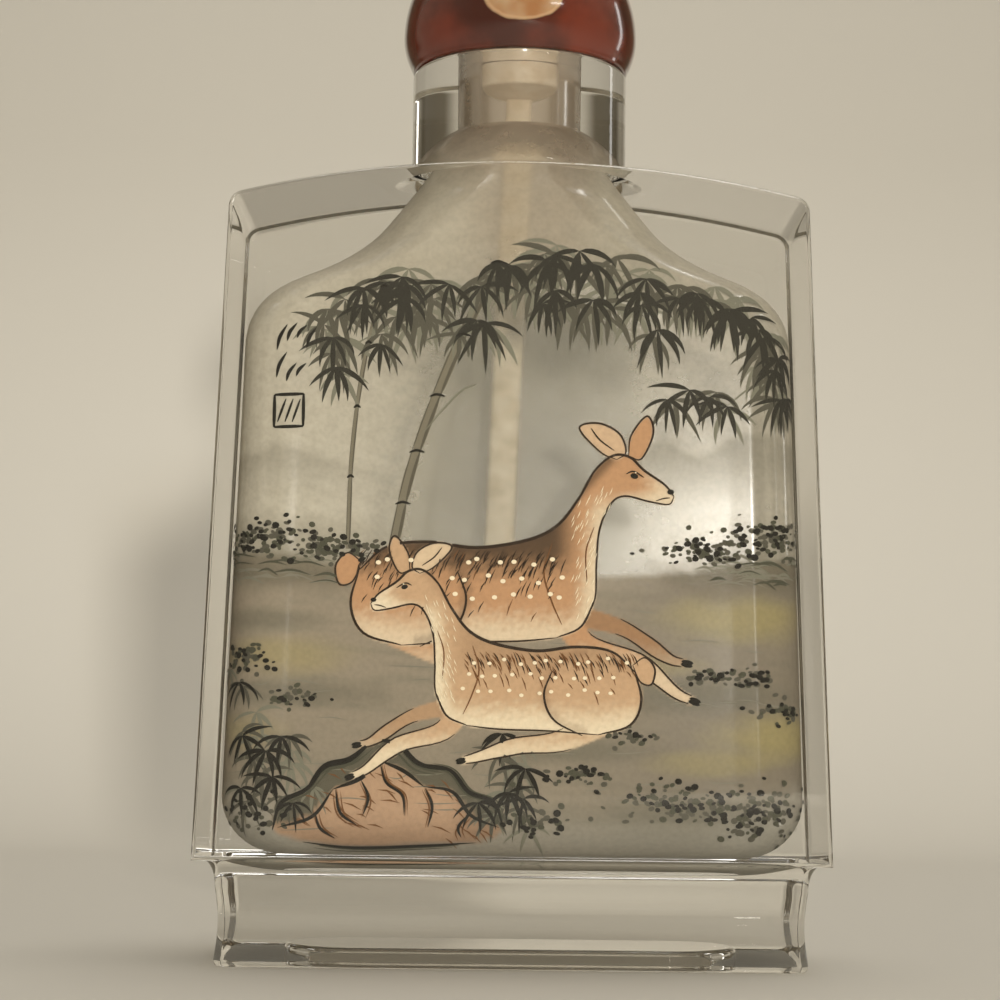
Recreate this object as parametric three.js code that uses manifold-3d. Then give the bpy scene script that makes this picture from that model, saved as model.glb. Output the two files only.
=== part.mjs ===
// A flat snuff bottle of clear glass: a tapered rectangular body with an arched shoulder, a round
// neck, a stepped foot and one hollow inside, with a domed stone stopper, the collar under the
// stopper and the spoon that hangs from it. Millimetres, +Z up, the front face towards -Y.

import * as THREE from 'three';
import { mergeVertices } from 'three/addons/utils/BufferGeometryUtils.js';
import Module from 'manifold-3d';

const wasm = await Module();
wasm.setup();

// Glass body: a flat slab, wider at the bottom, with an arched top.
const BODY_Z = 8;
const BODY_WIDTH = 48;
const SHOULDER_WIDTH = 44.6;
const SHOULDER_Z = 58.8;
const ARCH_Z = 61.6;
const DEPTH = 22;
const EDGE = 0.4;
const SHOULDER_ROUNDING = 1;
const ARCH_RISE = ARCH_Z - SHOULDER_Z;
const ARCH_R = (ARCH_RISE ** 2 + (SHOULDER_WIDTH / 2) ** 2) / (2 * ARCH_RISE);

// Foot: a block with slightly hollow sides, which a cove joins to the body's underside.
const FOOT_WIDTH = 44.8;
const FOOT_DEPTH = 18.4;
const FOOT_HOLLOW = 0.25;
const FOOT_CHAMFER = 0.4;
const FOOT_CORNER = 0.7;
const COVE_REACH = 0.9;
const COVE_HEIGHT = 2;
const RECESS_LENGTH = 35;
const RECESS_WIDTH = 11;
const RECESS_DEEP = 1.2;

// Neck: round, with a small cove where it stands on the arch.
const NECK_R = 8.7;
const LIP_Z = 71.2;
const LIP_EDGE = 0.4;
const NECK_COVE = 1.5;
const BORE_R = 3.25;

// Hollow: a rounded slot that narrows over sloping shoulders into the bore.
const FLOOR_Z = 8.3;
const HOLLOW_LOW_WIDTH = 44.4;
const HOLLOW_HIGH_WIDTH = 42.4;
const HOLLOW_DEPTH = 16;
const HOLLOW_FLOOR_R = 4.5;
const HOLLOW_SHOULDER_Z = 48;
const BORE_Z = 66.2;
// The hollow's shoulder as [half width, z]: each curve bends toward one point and ends at another.
const HOLLOW_SHOULDER = [
  { bend: [20.95, 51.6], end: [17, 53.1] },
  { bend: [12.4, 54.8], end: [10.4, 57.4] },
  { bend: [8, 60.5], end: [6.9, 62.2] },
  { bend: [5, 65.2], end: [BORE_R, BORE_Z] },
];
const HOLLOW_CORNER = 3.6;

// Stopper, collar and spoon, each a hair clear of the piece that carries it.
const CLEARANCE = 0.05;
const STOPPER_R = 9.5;
const STOPPER_BASE_R = 8.75;
const STOPPER_WIDEST = 3;
const STOPPER_EDGE = 0.3;
const PLUG_R = 3.1;
const PLUG_HEIGHT = 1.8;
const SPOON_LENGTH = 54;
const SPOON_BACK = 2.1;
const SPOON_LEAN = 1.8;
const HANDLE_WIDTH = 2.4;
const HANDLE_THICK = 0.8;
const BOWL_WIDTH = 4.4;
const BOWL_LENGTH = 8;
const BOWL_DISH = 0.7;

const RING_ARC = 9;
const ROUND_SIDES = 48;

/** One closed outline: a rectangle with round corners, level at height z. */
function roundedRing(halfWidth, halfDepth, radius, z, arc = RING_ARC) {
  const ring = [];
  const corner = Math.min(radius, halfWidth, halfDepth);
  for (let quarter = 0; quarter < 4; quarter++) {
    const middle = (quarter + 0.5) * (Math.PI / 2);
    const cx = Math.sign(Math.cos(middle)) * (halfWidth - corner);
    const cy = Math.sign(Math.sin(middle)) * (halfDepth - corner);
    for (let step = 0; step < arc; step++) {
      const turn = (quarter + step / (arc - 1)) * (Math.PI / 2);
      ring.push(new THREE.Vector3(cx + corner * Math.cos(turn), cy + corner * Math.sin(turn), z));
    }
  }
  return ring;
}

/** A closed solid through rings of equal length, listed from the bottom up. */
function loft(rings) {
  const count = rings[0].length;
  const points = rings.flat();
  const faces = [];
  for (let level = 0; level + 1 < rings.length; level++) {
    for (let i = 0; i < count; i++) {
      const a = level * count + i;
      const b = level * count + ((i + 1) % count);
      faces.push(a, b, b + count, a, b + count, a + count);
    }
  }
  for (const [start, upward] of [[0, false], [points.length - count, true]]) {
    const ring = points.slice(start, start + count);
    const centre = points.length;
    points.push(ring.reduce((sum, p) => sum.add(p), new THREE.Vector3()).divideScalar(count));
    for (let i = 0; i < count; i++) {
      const here = start + i;
      const next = start + ((i + 1) % count);
      faces.push(...(upward ? [centre, here, next] : [centre, next, here]));
    }
  }
  const geometry = new THREE.BufferGeometry().setFromPoints(points);
  geometry.setIndex(faces);
  return geometry;
}

/** The closed mesh as a solid that can be joined and cut. */
function solidOf(geometry) {
  const bare = geometry.clone();
  bare.deleteAttribute('normal');
  bare.deleteAttribute('uv');
  const merged = mergeVertices(bare, 1e-4);
  return new wasm.Manifold(new wasm.Mesh({
    numProp: 3,
    vertProperties: new Float32Array(merged.attributes.position.array),
    triVerts: new Uint32Array(merged.index.array),
  }));
}

/** A solid back as a geometry. */
function geometryOf(solid) {
  const mesh = solid.getMesh();
  const geometry = new THREE.BufferGeometry();
  geometry.setAttribute('position', new THREE.BufferAttribute(mesh.vertProperties, 3));
  geometry.setIndex(new THREE.BufferAttribute(mesh.triVerts, 1));
  geometry.computeVertexNormals();
  return geometry;
}

/** A turned solid about Z from [radius, z] pairs, which start and end on the axis. */
function turned(profile, sides = ROUND_SIDES) {
  const points = profile.map(([radius, z]) => new THREE.Vector2(radius, z));
  return new THREE.LatheGeometry(points, sides).rotateX(Math.PI / 2);
}

/** A quarter arc of [radius, z] pairs about a centre, between two angles. */
function arcProfile(centreR, centreZ, radius, from, to, steps) {
  return Array.from({ length: steps + 1 }, (_, i) => {
    const turn = from + ((to - from) * i) / steps;
    return [centreR + radius * Math.cos(turn), centreZ + radius * Math.sin(turn)];
  });
}

/** The height of the arched shoulder at a distance from the middle. */
function archHeight(x) {
  return ARCH_Z - ARCH_R + Math.sqrt(ARCH_R ** 2 - x ** 2);
}

/** The slab: its front outline pushed along Y, with a fine polished edge all round. */
function bodyGeometry() {
  const half = SHOULDER_WIDTH / 2;
  const archEndX = half - SHOULDER_ROUNDING;
  const archTurn = Math.asin(archEndX / ARCH_R);
  const sideSlope = (BODY_WIDTH - SHOULDER_WIDTH) / 2 / (SHOULDER_Z - BODY_Z);
  const sideX = half + sideSlope * SHOULDER_ROUNDING;
  const outline = new THREE.Shape();
  outline.moveTo(-BODY_WIDTH / 2, BODY_Z);
  outline.lineTo(BODY_WIDTH / 2, BODY_Z);
  outline.lineTo(sideX, SHOULDER_Z - SHOULDER_ROUNDING);
  outline.quadraticCurveTo(half, SHOULDER_Z, archEndX, archHeight(archEndX));
  outline.absarc(0, ARCH_Z - ARCH_R, ARCH_R, Math.PI / 2 - archTurn, Math.PI / 2 + archTurn, false);
  outline.quadraticCurveTo(-half, SHOULDER_Z, -sideX, SHOULDER_Z - SHOULDER_ROUNDING);
  const geometry = new THREE.ExtrudeGeometry(outline, {
    depth: DEPTH - 2 * EDGE,
    bevelThickness: EDGE,
    bevelSize: EDGE,
    bevelOffset: -EDGE,
    bevelSegments: 2,
    curveSegments: 20,
  });
  return geometry.rotateX(Math.PI / 2).translate(0, DEPTH / 2 - EDGE, 0);
}

/** The foot, up into the body, from its chamfered underside through its waist to the cove. */
function footGeometry() {
  const coveZ = BODY_Z - COVE_HEIGHT;
  const levels = [[0, -FOOT_CHAMFER], [FOOT_CHAMFER * 1.5, 0]];
  for (let step = 1; step < 6; step++) {
    const share = step / 6;
    const z = THREE.MathUtils.lerp(FOOT_CHAMFER * 1.5, coveZ, share);
    levels.push([z, -FOOT_HOLLOW * Math.sin(Math.PI * share)]);
  }
  for (let step = 0; step <= 6; step++) {
    const turn = (step / 6) * (Math.PI / 2);
    levels.push([coveZ + COVE_HEIGHT * Math.sin(turn), COVE_REACH * (1 - Math.cos(turn))]);
  }
  levels.push([BODY_Z + EDGE, COVE_REACH]);
  return loft(levels.map(([z, out]) => (
    roundedRing(FOOT_WIDTH / 2 + out, FOOT_DEPTH / 2 + out, FOOT_CORNER, z, 4)
  )));
}

/** The neck, from inside the body, through its cove, up to the eased lip. */
function neckGeometry() {
  const coveFoot = NECK_R + NECK_COVE;
  const coveZ = archHeight(coveFoot);
  return turned([
    [0, coveZ - 2],
    [coveFoot, coveZ - 2],
    ...arcProfile(coveFoot, coveZ + NECK_COVE, NECK_COVE, -Math.PI / 2, -Math.PI, 5),
    ...arcProfile(NECK_R - LIP_EDGE, LIP_Z - LIP_EDGE, LIP_EDGE, 0, Math.PI / 2, 3),
    [0, LIP_Z],
  ]);
}

/** The hollow and its bore, a little past the lip, to be cut out of the glass. */
function hollowGeometry() {
  const rings = [];
  const wallHalfWidth = (z) => THREE.MathUtils.mapLinear(
    z, FLOOR_Z + HOLLOW_FLOOR_R, HOLLOW_SHOULDER_Z, HOLLOW_LOW_WIDTH / 2, HOLLOW_HIGH_WIDTH / 2,
  );
  for (let step = 0; step <= 6; step++) {
    const turn = (step / 6) * (Math.PI / 2);
    const inset = HOLLOW_FLOOR_R * (1 - Math.sin(turn));
    const z = FLOOR_Z + HOLLOW_FLOOR_R * (1 - Math.cos(turn));
    rings.push(roundedRing(HOLLOW_LOW_WIDTH / 2 - inset, HOLLOW_DEPTH / 2 - inset, HOLLOW_CORNER, z));
  }
  for (const z of [24, 36, HOLLOW_SHOULDER_Z]) {
    rings.push(roundedRing(wallHalfWidth(z), HOLLOW_DEPTH / 2, HOLLOW_CORNER, z));
  }
  // The shoulder: a round corner, a hollow slope, then a convex flare into the bore.
  let start = new THREE.Vector2(wallHalfWidth(HOLLOW_SHOULDER_Z), HOLLOW_SHOULDER_Z);
  for (const { bend, end } of HOLLOW_SHOULDER) {
    const finish = new THREE.Vector2(...end);
    const piece = new THREE.QuadraticBezierCurve(start, new THREE.Vector2(...bend), finish);
    for (const point of piece.getPoints(5).slice(1)) {
      const closed = (point.y - HOLLOW_SHOULDER_Z) / (BORE_Z - HOLLOW_SHOULDER_Z);
      const halfDepth = THREE.MathUtils.lerp(HOLLOW_DEPTH / 2, BORE_R, closed ** 3);
      const roundness = THREE.MathUtils.lerp(HOLLOW_CORNER, Math.min(point.x, halfDepth), closed);
      rings.push(roundedRing(point.x, halfDepth, roundness, point.y));
    }
    start = finish;
  }
  rings.push(roundedRing(BORE_R, BORE_R, BORE_R, LIP_Z + 1));
  return loft(rings);
}

/** The shallow recess with round ends in the foot's underside. */
function recessGeometry() {
  const endR = RECESS_WIDTH / 2;
  const run = RECESS_LENGTH / 2 - endR;
  const outline = new THREE.Shape();
  outline.absarc(run, 0, endR, -Math.PI / 2, Math.PI / 2, false);
  outline.absarc(-run, 0, endR, Math.PI / 2, (3 * Math.PI) / 2, false);
  const geometry = new THREE.ExtrudeGeometry(outline, {
    depth: RECESS_DEEP + 1, bevelEnabled: false, curveSegments: 12,
  });
  return geometry.translate(0, 0, -1);
}

/** The glass: slab, foot and neck joined, then hollowed. */
function bottleGeometry() {
  const glass = solidOf(bodyGeometry()).add(solidOf(footGeometry())).add(solidOf(neckGeometry()));
  return geometryOf(glass.subtract(solidOf(hollowGeometry())).subtract(solidOf(recessGeometry())));
}

/** The stopper: a near-spherical dome that draws in a little to its flat base. */
function stopperGeometry() {
  const baseZ = LIP_Z + CLEARANCE;
  const widestZ = baseZ + STOPPER_WIDEST;
  const flank = [];
  for (let step = 0; step < 5; step++) {
    const share = step / 5;
    const radius = THREE.MathUtils.lerp(STOPPER_R, STOPPER_BASE_R, (1 - share) ** 2);
    flank.push([radius, THREE.MathUtils.lerp(baseZ + STOPPER_EDGE, widestZ, share)]);
  }
  const dome = arcProfile(0, widestZ, STOPPER_R, 0, Math.PI / 2, 12);
  dome[dome.length - 1][0] = 0;
  return turned([[0, baseZ], [STOPPER_BASE_R - STOPPER_EDGE, baseZ], ...flank, ...dome]);
}

/** The collar under the stopper, which sits in the bore. */
function plugGeometry() {
  const topZ = LIP_Z;
  const lowZ = topZ - PLUG_HEIGHT;
  return turned([[0, lowZ], [PLUG_R - LIP_EDGE, lowZ], [PLUG_R, lowZ + LIP_EDGE], [PLUG_R, topZ], [0, topZ]]);
}

/** The spoon: a flat handle that leans a little and ends in a small dished bowl. */
function spoonGeometry() {
  const topZ = LIP_Z - PLUG_HEIGHT - CLEARANCE;
  const rings = [];
  const addRing = (down, width, thick, dish) => {
    const lean = SPOON_LEAN * (down / SPOON_LENGTH);
    const ring = roundedRing(width / 2, thick / 2, thick * 0.4, topZ - down, 4);
    for (const point of ring) {
      point.y += SPOON_BACK + dish * (1 - (2 * point.x / width) ** 2);
      point.x -= lean;
    }
    rings.unshift(ring);
  };
  for (const share of [0, 0.25, 0.5, 0.75, 1]) {
    addRing(share * (SPOON_LENGTH - BOWL_LENGTH), HANDLE_WIDTH, HANDLE_THICK, 0);
  }
  for (let step = 1; step <= 9; step++) {
    const share = step / 9;
    const swell = Math.sin(Math.PI * Math.min(1, share * 0.96));
    const width = Math.max(HANDLE_WIDTH * (1 - share), BOWL_WIDTH * Math.sqrt(swell));
    const thick = HANDLE_THICK * THREE.MathUtils.lerp(1, 0.75, share);
    addRing(SPOON_LENGTH - BOWL_LENGTH * (1 - share), width, thick, BOWL_DISH * swell);
  }
  return loft(rings);
}

const glass = new THREE.MeshStandardMaterial({
  color: 0xd6d6cc, roughness: 0.03, metalness: 0, transparent: true, opacity: 0.35,
});
const carnelian = new THREE.MeshStandardMaterial({ color: 0x6e2416, roughness: 0.15, metalness: 0 });
const collar = new THREE.MeshStandardMaterial({ color: 0xd8c5a4, roughness: 0.6, metalness: 0 });
const bone = new THREE.MeshStandardMaterial({ color: 0xe2d8bf, roughness: 0.45, metalness: 0 });

const bottle = new THREE.Group();
for (const [name, geometry, material] of [
  ['bottle', bottleGeometry(), glass],
  ['stopper', stopperGeometry(), carnelian],
  ['plug', plugGeometry(), collar],
  ['spoon', spoonGeometry(), bone],
]) {
  const mesh = new THREE.Mesh(geometry, material);
  mesh.name = name;
  bottle.add(mesh);
}

export default bottle;
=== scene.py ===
"""Looks of a flat glass snuff bottle, painted inside, with its carnelian stopper.

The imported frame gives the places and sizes. This script dresses it: the clear glass with its
frosted hollow, the wash and the brushwork on the inner wall, the stopper, the collar and the
spoon, and a plain studio around them. Lengths inside the classes are millimetres.
"""

from __future__ import annotations

import logging
import math
from dataclasses import dataclass
from enum import Enum
from typing import Sequence

import bpy
import numpy as np
from mathutils import Euler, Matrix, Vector

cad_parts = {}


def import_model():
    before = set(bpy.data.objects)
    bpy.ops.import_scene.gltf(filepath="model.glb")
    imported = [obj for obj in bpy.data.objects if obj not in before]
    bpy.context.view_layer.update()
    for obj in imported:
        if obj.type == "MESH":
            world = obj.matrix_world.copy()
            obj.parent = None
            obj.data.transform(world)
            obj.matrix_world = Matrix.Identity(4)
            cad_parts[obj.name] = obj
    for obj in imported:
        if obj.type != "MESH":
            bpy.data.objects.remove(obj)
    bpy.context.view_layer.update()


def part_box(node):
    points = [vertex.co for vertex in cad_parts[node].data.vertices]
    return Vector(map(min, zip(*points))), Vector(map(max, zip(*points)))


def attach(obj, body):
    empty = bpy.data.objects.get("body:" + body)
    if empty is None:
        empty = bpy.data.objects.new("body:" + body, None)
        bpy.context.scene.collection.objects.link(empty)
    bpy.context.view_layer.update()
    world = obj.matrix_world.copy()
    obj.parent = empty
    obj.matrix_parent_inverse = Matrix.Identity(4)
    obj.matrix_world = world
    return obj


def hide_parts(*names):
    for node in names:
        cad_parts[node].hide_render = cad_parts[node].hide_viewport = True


log = logging.getLogger("snuff_bottle")

MM = 0.001
PAST = 1.0  # how far a cutting shape goes past the glass, in millimetres
# Clear glass is several surfaces deep: with fewer, its small corners render black.
BOUNCES = {"max_bounces": 24, "glossy_bounces": 16, "transmission_bounces": 24}

Rgb = tuple[float, float, float]
Line = Sequence[Sequence[float]]
Shell = tuple[np.ndarray, list[list[int]]]


def linear(colour: Rgb) -> Rgb:
    """Display values from 0 to 255 as linear light."""
    parts = [c / 255 for c in colour]
    return tuple(p / 12.92 if p <= 0.04045 else ((p + 0.055) / 1.055) ** 2.4 for p in parts)


def smooth(low: float, high: float, value: np.ndarray) -> np.ndarray:
    """An even rise from 0 at low to 1 at high, which may be the smaller of the two."""
    share = np.clip((value - low) / (high - low), 0.0, 1.0)
    return share * share * (3 - 2 * share)


# --------------------------------------------------------------------------- shader graphs


class Value:
    """An output socket that takes part in Python expressions."""

    def __init__(self, graph: "Graph", socket: bpy.types.NodeSocket) -> None:
        """Wraps a socket of a graph."""
        self.graph = graph
        self.socket = socket

    def sibling(self, output: int | str) -> "Value":
        """Another output of the same node."""
        return Value(self.graph, self.socket.node.outputs[output])

    def _math(self, operation: str, *values: "Value | float") -> "Value":
        """One Math node."""
        return self.graph.node("ShaderNodeMath", {"operation": operation}, dict(enumerate(values)))

    def __add__(self, other: "Value | float") -> "Value":
        """Sum."""
        return self._math("ADD", self, other)

    __radd__ = __add__

    def __sub__(self, other: "Value | float") -> "Value":
        """Difference."""
        return self._math("SUBTRACT", self, other)

    def __rsub__(self, other: "Value | float") -> "Value":
        """Difference from a number."""
        return self._math("SUBTRACT", other, self)

    def __mul__(self, other: "Value | float") -> "Value":
        """Product."""
        return self._math("MULTIPLY", self, other)

    __rmul__ = __mul__

    def __pow__(self, power: float) -> "Value":
        """Power."""
        return self._math("POWER", self, power)

    def greater(self, other: "Value | float") -> "Value":
        """The larger of two values."""
        return self._math("MAXIMUM", self, other)

    def rise(self, low: float, high: float) -> "Value":
        """An even rise from 0 at low to 1 at high."""
        inputs = {0: self, 1: low, 2: high, 3: 0.0, 4: 1.0}
        return self.graph.node("ShaderNodeMapRange", {"interpolation_type": "SMOOTHSTEP"}, inputs)


class Graph:
    """One material and the nodes in it."""

    def __init__(self, name: str) -> None:
        """Starts an empty material.

        Args:
            name: The material's name.
        """
        self.material = bpy.data.materials.new(name)
        self.material.use_nodes = True
        self.tree = self.material.node_tree
        self.tree.nodes.clear()

    def node(self, kind: str, settings: dict | None = None, inputs: dict | None = None,
             output: int | str = 0) -> Value:
        """Adds a node.

        Args:
            kind: The node's type.
            settings: Its properties, set first.
            inputs: Values or links, by the sockets' names or places.
            output: The output to return.

        Returns:
            The chosen output.
        """
        made = self.tree.nodes.new(kind)
        for key, value in (settings or {}).items():
            setattr(made, key, value)
        for key, value in (inputs or {}).items():
            if isinstance(value, Value):
                self.tree.links.new(value.socket, made.inputs[key])
            else:
                made.inputs[key].default_value = value
        return Value(self, made.outputs[output])

    def place(self) -> Value:
        """The point on the piece, in metres."""
        return self.node("ShaderNodeTexCoord", output="Object")

    def axes(self) -> list[Value]:
        """The point's distances along X, Y and Z, in metres."""
        split = self.node("ShaderNodeSeparateXYZ", inputs={"Vector": self.place()})
        return [split.sibling(axis) for axis in range(3)]

    def noise(self, scale: float, detail: float) -> Value:
        """Soft noise.

        Args:
            scale: Features to the metre.
            detail: Octaves.

        Returns:
            Values around 0.5.
        """
        inputs = {"Vector": self.place(), "Scale": scale, "Detail": detail}
        return self.node("ShaderNodeTexNoise", inputs=inputs)

    def blend(self, share: Value | float, first: Value | Rgb, second: Value | Rgb) -> Value:
        """Mixes two colours."""
        ends = [c if isinstance(c, Value) else (*c, 1.0) for c in (first, second)]
        inputs = {0: share, 6: ends[0], 7: ends[1]}
        return self.node("ShaderNodeMix", {"data_type": "RGBA"}, inputs, output=2)

    def principled(self, **inputs: Value | float | Rgb) -> Value:
        """A Principled shader, by its sockets' names with underscores for spaces."""
        named = {}
        for key, value in inputs.items():
            colour = isinstance(value, tuple) and key.endswith("Color")
            named[key.replace("_", " ")] = (*value, 1.0) if colour else value
        return self.node("ShaderNodeBsdfPrincipled", inputs=named)

    def bump(self, height: Value, strength: float, distance: float) -> Value:
        """A bump from a height, its distance in metres."""
        inputs = {"Height": height, "Strength": strength, "Distance": distance}
        return self.node("ShaderNodeBump", inputs=inputs, output="Normal")

    def finish(self, surface: Value) -> bpy.types.Material:
        """Connects the output.

        Args:
            surface: The surface shader.

        Returns:
            The material.
        """
        output = self.tree.nodes.new("ShaderNodeOutputMaterial")
        self.tree.links.new(surface.socket, output.inputs["Surface"])
        return self.material


# --------------------------------------------------------------------------- finishes


@dataclass(frozen=True)
class ClearGlass:
    """Clear, faintly grey-brown glass that lets lamps reach what is inside it."""

    name: str
    tint: Rgb
    shade: Rgb
    roughness: float
    ior: float = 1.5

    def material(self) -> bpy.types.Material:
        """The finish: glass to the eye, and plain see-through to lamps and soft light."""
        graph = Graph(self.name)
        glass = graph.principled(Base_Color=self.tint, Roughness=self.roughness, IOR=self.ior,
                                 Transmission_Weight=1.0)
        through = graph.node("ShaderNodeBsdfTransparent", inputs={"Color": (*self.shade, 1.0)})
        shadow = graph.node("ShaderNodeLightPath", output="Is Shadow Ray")
        inputs = {0: shadow.greater(shadow.sibling("Is Diffuse Ray")), 1: glass, 2: through}
        return graph.finish(graph.node("ShaderNodeMixShader", inputs=inputs))


POLISHED = ClearGlass("polished_glass", (0.81, 0.795, 0.755), (0.92, 0.91, 0.89), 0.0)
FROSTED = ClearGlass("frosted_glass", (0.97, 0.97, 0.96), (0.94, 0.93, 0.91), 0.15)


@dataclass(frozen=True)
class Carnelian:
    """Polished brown-red stone with a pale banded eye."""

    deep: Rgb = linear((58, 25, 16))
    warm: Rgb = linear((98, 40, 24))
    pale: Rgb = linear((180, 148, 110))
    honey: Rgb = linear((152, 98, 50))
    eye_x: float = 0.3
    eye_z: float = 75.4
    eye_half_width: float = 3.0
    eye_half_height: float = 2.1
    waver: float = 0.6
    heart_share: float = 0.75
    eye_share: float = 0.75
    rim_share: float = 0.6

    def material(self) -> bpy.types.Material:
        """The stone."""
        graph = Graph("carnelian")
        x, y, z = graph.axes()
        cloud = graph.noise(160.0, 4.0)
        wave = graph.noise(300.0, 2.0)
        across = (x - self.eye_x * MM) * (1 / (self.eye_half_width * MM))
        up = (z - self.eye_z * MM) * (1 / (self.eye_half_height * MM))
        ring = (across * across + up * up) ** 0.5 + (cloud - 0.5) * self.waver
        front = (y * (-1 / MM)).rise(1.0, 3.0)
        eye = (1.0 - ring.rise(0.9, 1.02)) * front
        rim = ring.rise(0.84, 0.93) * (1.0 - ring.rise(0.95, 1.03)) * front
        stone = graph.blend(cloud.rise(0.34, 0.66), self.deep, self.warm)
        heart = graph.blend(wave.rise(0.4, 0.66) * self.heart_share, self.pale, self.honey)
        colour = graph.blend(eye * self.eye_share, stone, heart)
        colour = graph.blend(rim * self.rim_share, colour, self.pale)
        surface = graph.principled(Base_Color=colour, Roughness=0.13, IOR=1.54, Coat_Weight=0.6,
                                   Coat_Roughness=0.04, Subsurface_Weight=0.25,
                                   Subsurface_Scale=0.0016, Subsurface_Radius=(1.0, 0.28, 0.12))
        return graph.finish(surface)


@dataclass(frozen=True)
class PaleMatt:
    """A pale matt material with a faint mottle."""

    name: str
    light: Rgb
    dark: Rgb
    scale: float
    roughness: float

    def material(self) -> bpy.types.Material:
        """The finish."""
        graph = Graph(self.name)
        mottle = graph.noise(self.scale, 4.0)
        colour = graph.blend(mottle.rise(0.35, 0.68), self.light, self.dark)
        surface = graph.principled(Base_Color=colour, Roughness=self.roughness,
                                   Normal=graph.bump(mottle, 0.25, 0.0001))
        return graph.finish(surface)


@dataclass(frozen=True)
class Wash:
    """The wall's thin wash: its colour and cover come with the mesh."""

    grain: float = 2600.0
    grain_strength: float = 0.12
    grain_tone: Rgb = (0.05, 0.045, 0.035)
    roughness: float = 0.7

    def material(self) -> bpy.types.Material:
        """The finish."""
        graph = Graph("wall_wash")
        paint = graph.node("ShaderNodeVertexColor", {"layer_name": "paint"})
        grain = graph.noise(self.grain, 2.0)
        colour = graph.blend(grain.rise(0.3, 0.75) * self.grain_strength, paint, self.grain_tone)
        surface = graph.principled(Base_Color=colour, Roughness=self.roughness,
                                   Alpha=paint.sibling("Alpha"), Specular_IOR_Level=0.1)
        return graph.finish(surface)


class Pigment(Enum):
    """The brush's paints: colour, and the order, the last nearest the eye."""

    GREY_WASH = ((116, 112, 98), 1)
    CULM = ((112, 106, 90), 2)
    CULM_SHADE = ((84, 79, 67), 3)
    PALE_LEAF = ((112, 110, 95), 4)
    LEAF = ((80, 77, 66), 5)
    LEAF_DARK = ((50, 48, 41), 6)
    COAT_SHADE = ((106, 72, 44), 7)
    COAT_DARK = ((48, 38, 29), 8)
    COAT_LIGHT = ((222, 208, 178), 9)
    MOSS = ((72, 71, 58), 10)
    INK = ((36, 34, 29), 11)

    def material(self) -> bpy.types.Material:
        """The paint."""
        colour, _ = self.value
        graph = Graph("ink_" + self.name.lower())
        return graph.finish(graph.principled(Base_Color=linear(colour), Roughness=0.6,
                                             Specular_IOR_Level=0.15))


# --------------------------------------------------------------------------- meshes


def add_piece(name: str, points: np.ndarray, faces: Sequence[Sequence[int]],
              materials: Sequence[bpy.types.Material], smoothed: bool = True,
              sharp: float | None = None) -> bpy.types.Object:
    """Makes an object.

    Args:
        name: Its name.
        points: Vertices in millimetres.
        faces: Vertex numbers.
        materials: Its slots.
        smoothed: Whether faces are shaded smooth.
        sharp: The angle in degrees from which an edge stays sharp.

    Returns:
        The object, linked to the scene.
    """
    mesh = bpy.data.meshes.new(name)
    mesh.from_pydata((np.asarray(points) * MM).tolist(), [], [list(f) for f in faces])
    for material in materials:
        mesh.materials.append(material)
    mesh.polygons.foreach_set("use_smooth", [smoothed] * len(mesh.polygons))
    mesh.update()
    if sharp is not None:
        mesh.set_sharp_from_angle(angle=math.radians(sharp))
    made = bpy.data.objects.new(name, mesh)
    bpy.context.scene.collection.objects.link(made)
    return made


def rounded_ring(half_width: float, half_depth: float, corner: float, z: float,
                 steps: int) -> np.ndarray:
    """A level rectangle with round corners, counter-clockwise from +X.

    Args:
        half_width: Half its size along X.
        half_depth: Half its size along Y.
        corner: The corners' radius.
        z: Its height.
        steps: Points in each corner.

    Returns:
        Its points.
    """
    corner = min(corner, half_width, half_depth)
    turns = np.concatenate([np.linspace(q, q + 1, steps) for q in range(4)]) * (math.pi / 2)
    sides = np.repeat([(1, 1), (-1, 1), (-1, -1), (1, -1)], steps, axis=0)
    x = sides[:, 0] * (half_width - corner) + corner * np.cos(turns)
    y = sides[:, 1] * (half_depth - corner) + corner * np.sin(turns)
    return np.column_stack([x, y, np.full(len(x), z)])


def loft(rings: Sequence[np.ndarray], closed: bool = True) -> Shell:
    """Joins rings of equal length from the bottom up.

    Args:
        rings: The rings.
        closed: Whether the ends are capped.

    Returns:
        Vertices and faces.
    """
    count = len(rings[0])
    faces = []
    for level in range(len(rings) - 1):
        for i in range(count):
            a, b = level * count + i, level * count + (i + 1) % count
            faces.append([a, b, b + count, a + count])
    if closed:
        top = (len(rings) - 1) * count
        faces.append(list(range(count))[::-1])
        faces.append(list(range(top, top + count)))
    return np.concatenate(rings), faces


def turned(profile: Sequence[tuple[float, float]], sides: int) -> Shell:
    """A solid of revolution about Z from radius and height pairs, bottom up and off the axis."""
    turn = np.linspace(0, 2 * math.pi, sides, endpoint=False)
    return loft([
        np.column_stack([r * np.cos(turn), r * np.sin(turn), np.full(sides, z)]) for r, z in profile
    ])


def arc(centre: tuple[float, float], radius: float, start: float, end: float,
        steps: int) -> list[tuple[float, float]]:
    """Points of an arc between two angles in degrees."""
    turns = np.radians(np.linspace(start, end, steps + 1))
    return [(centre[0] + radius * math.cos(t), centre[1] + radius * math.sin(t)) for t in turns]


def quadratic(start: Sequence[float], control: Sequence[float], end: Sequence[float],
              steps: int) -> np.ndarray:
    """Points of a quadratic curve."""
    t = np.linspace(0, 1, steps + 1)[:, None]
    return (1 - t) ** 2 * np.array(start) + 2 * t * (1 - t) * np.array(control) + t**2 * np.array(end)


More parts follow.
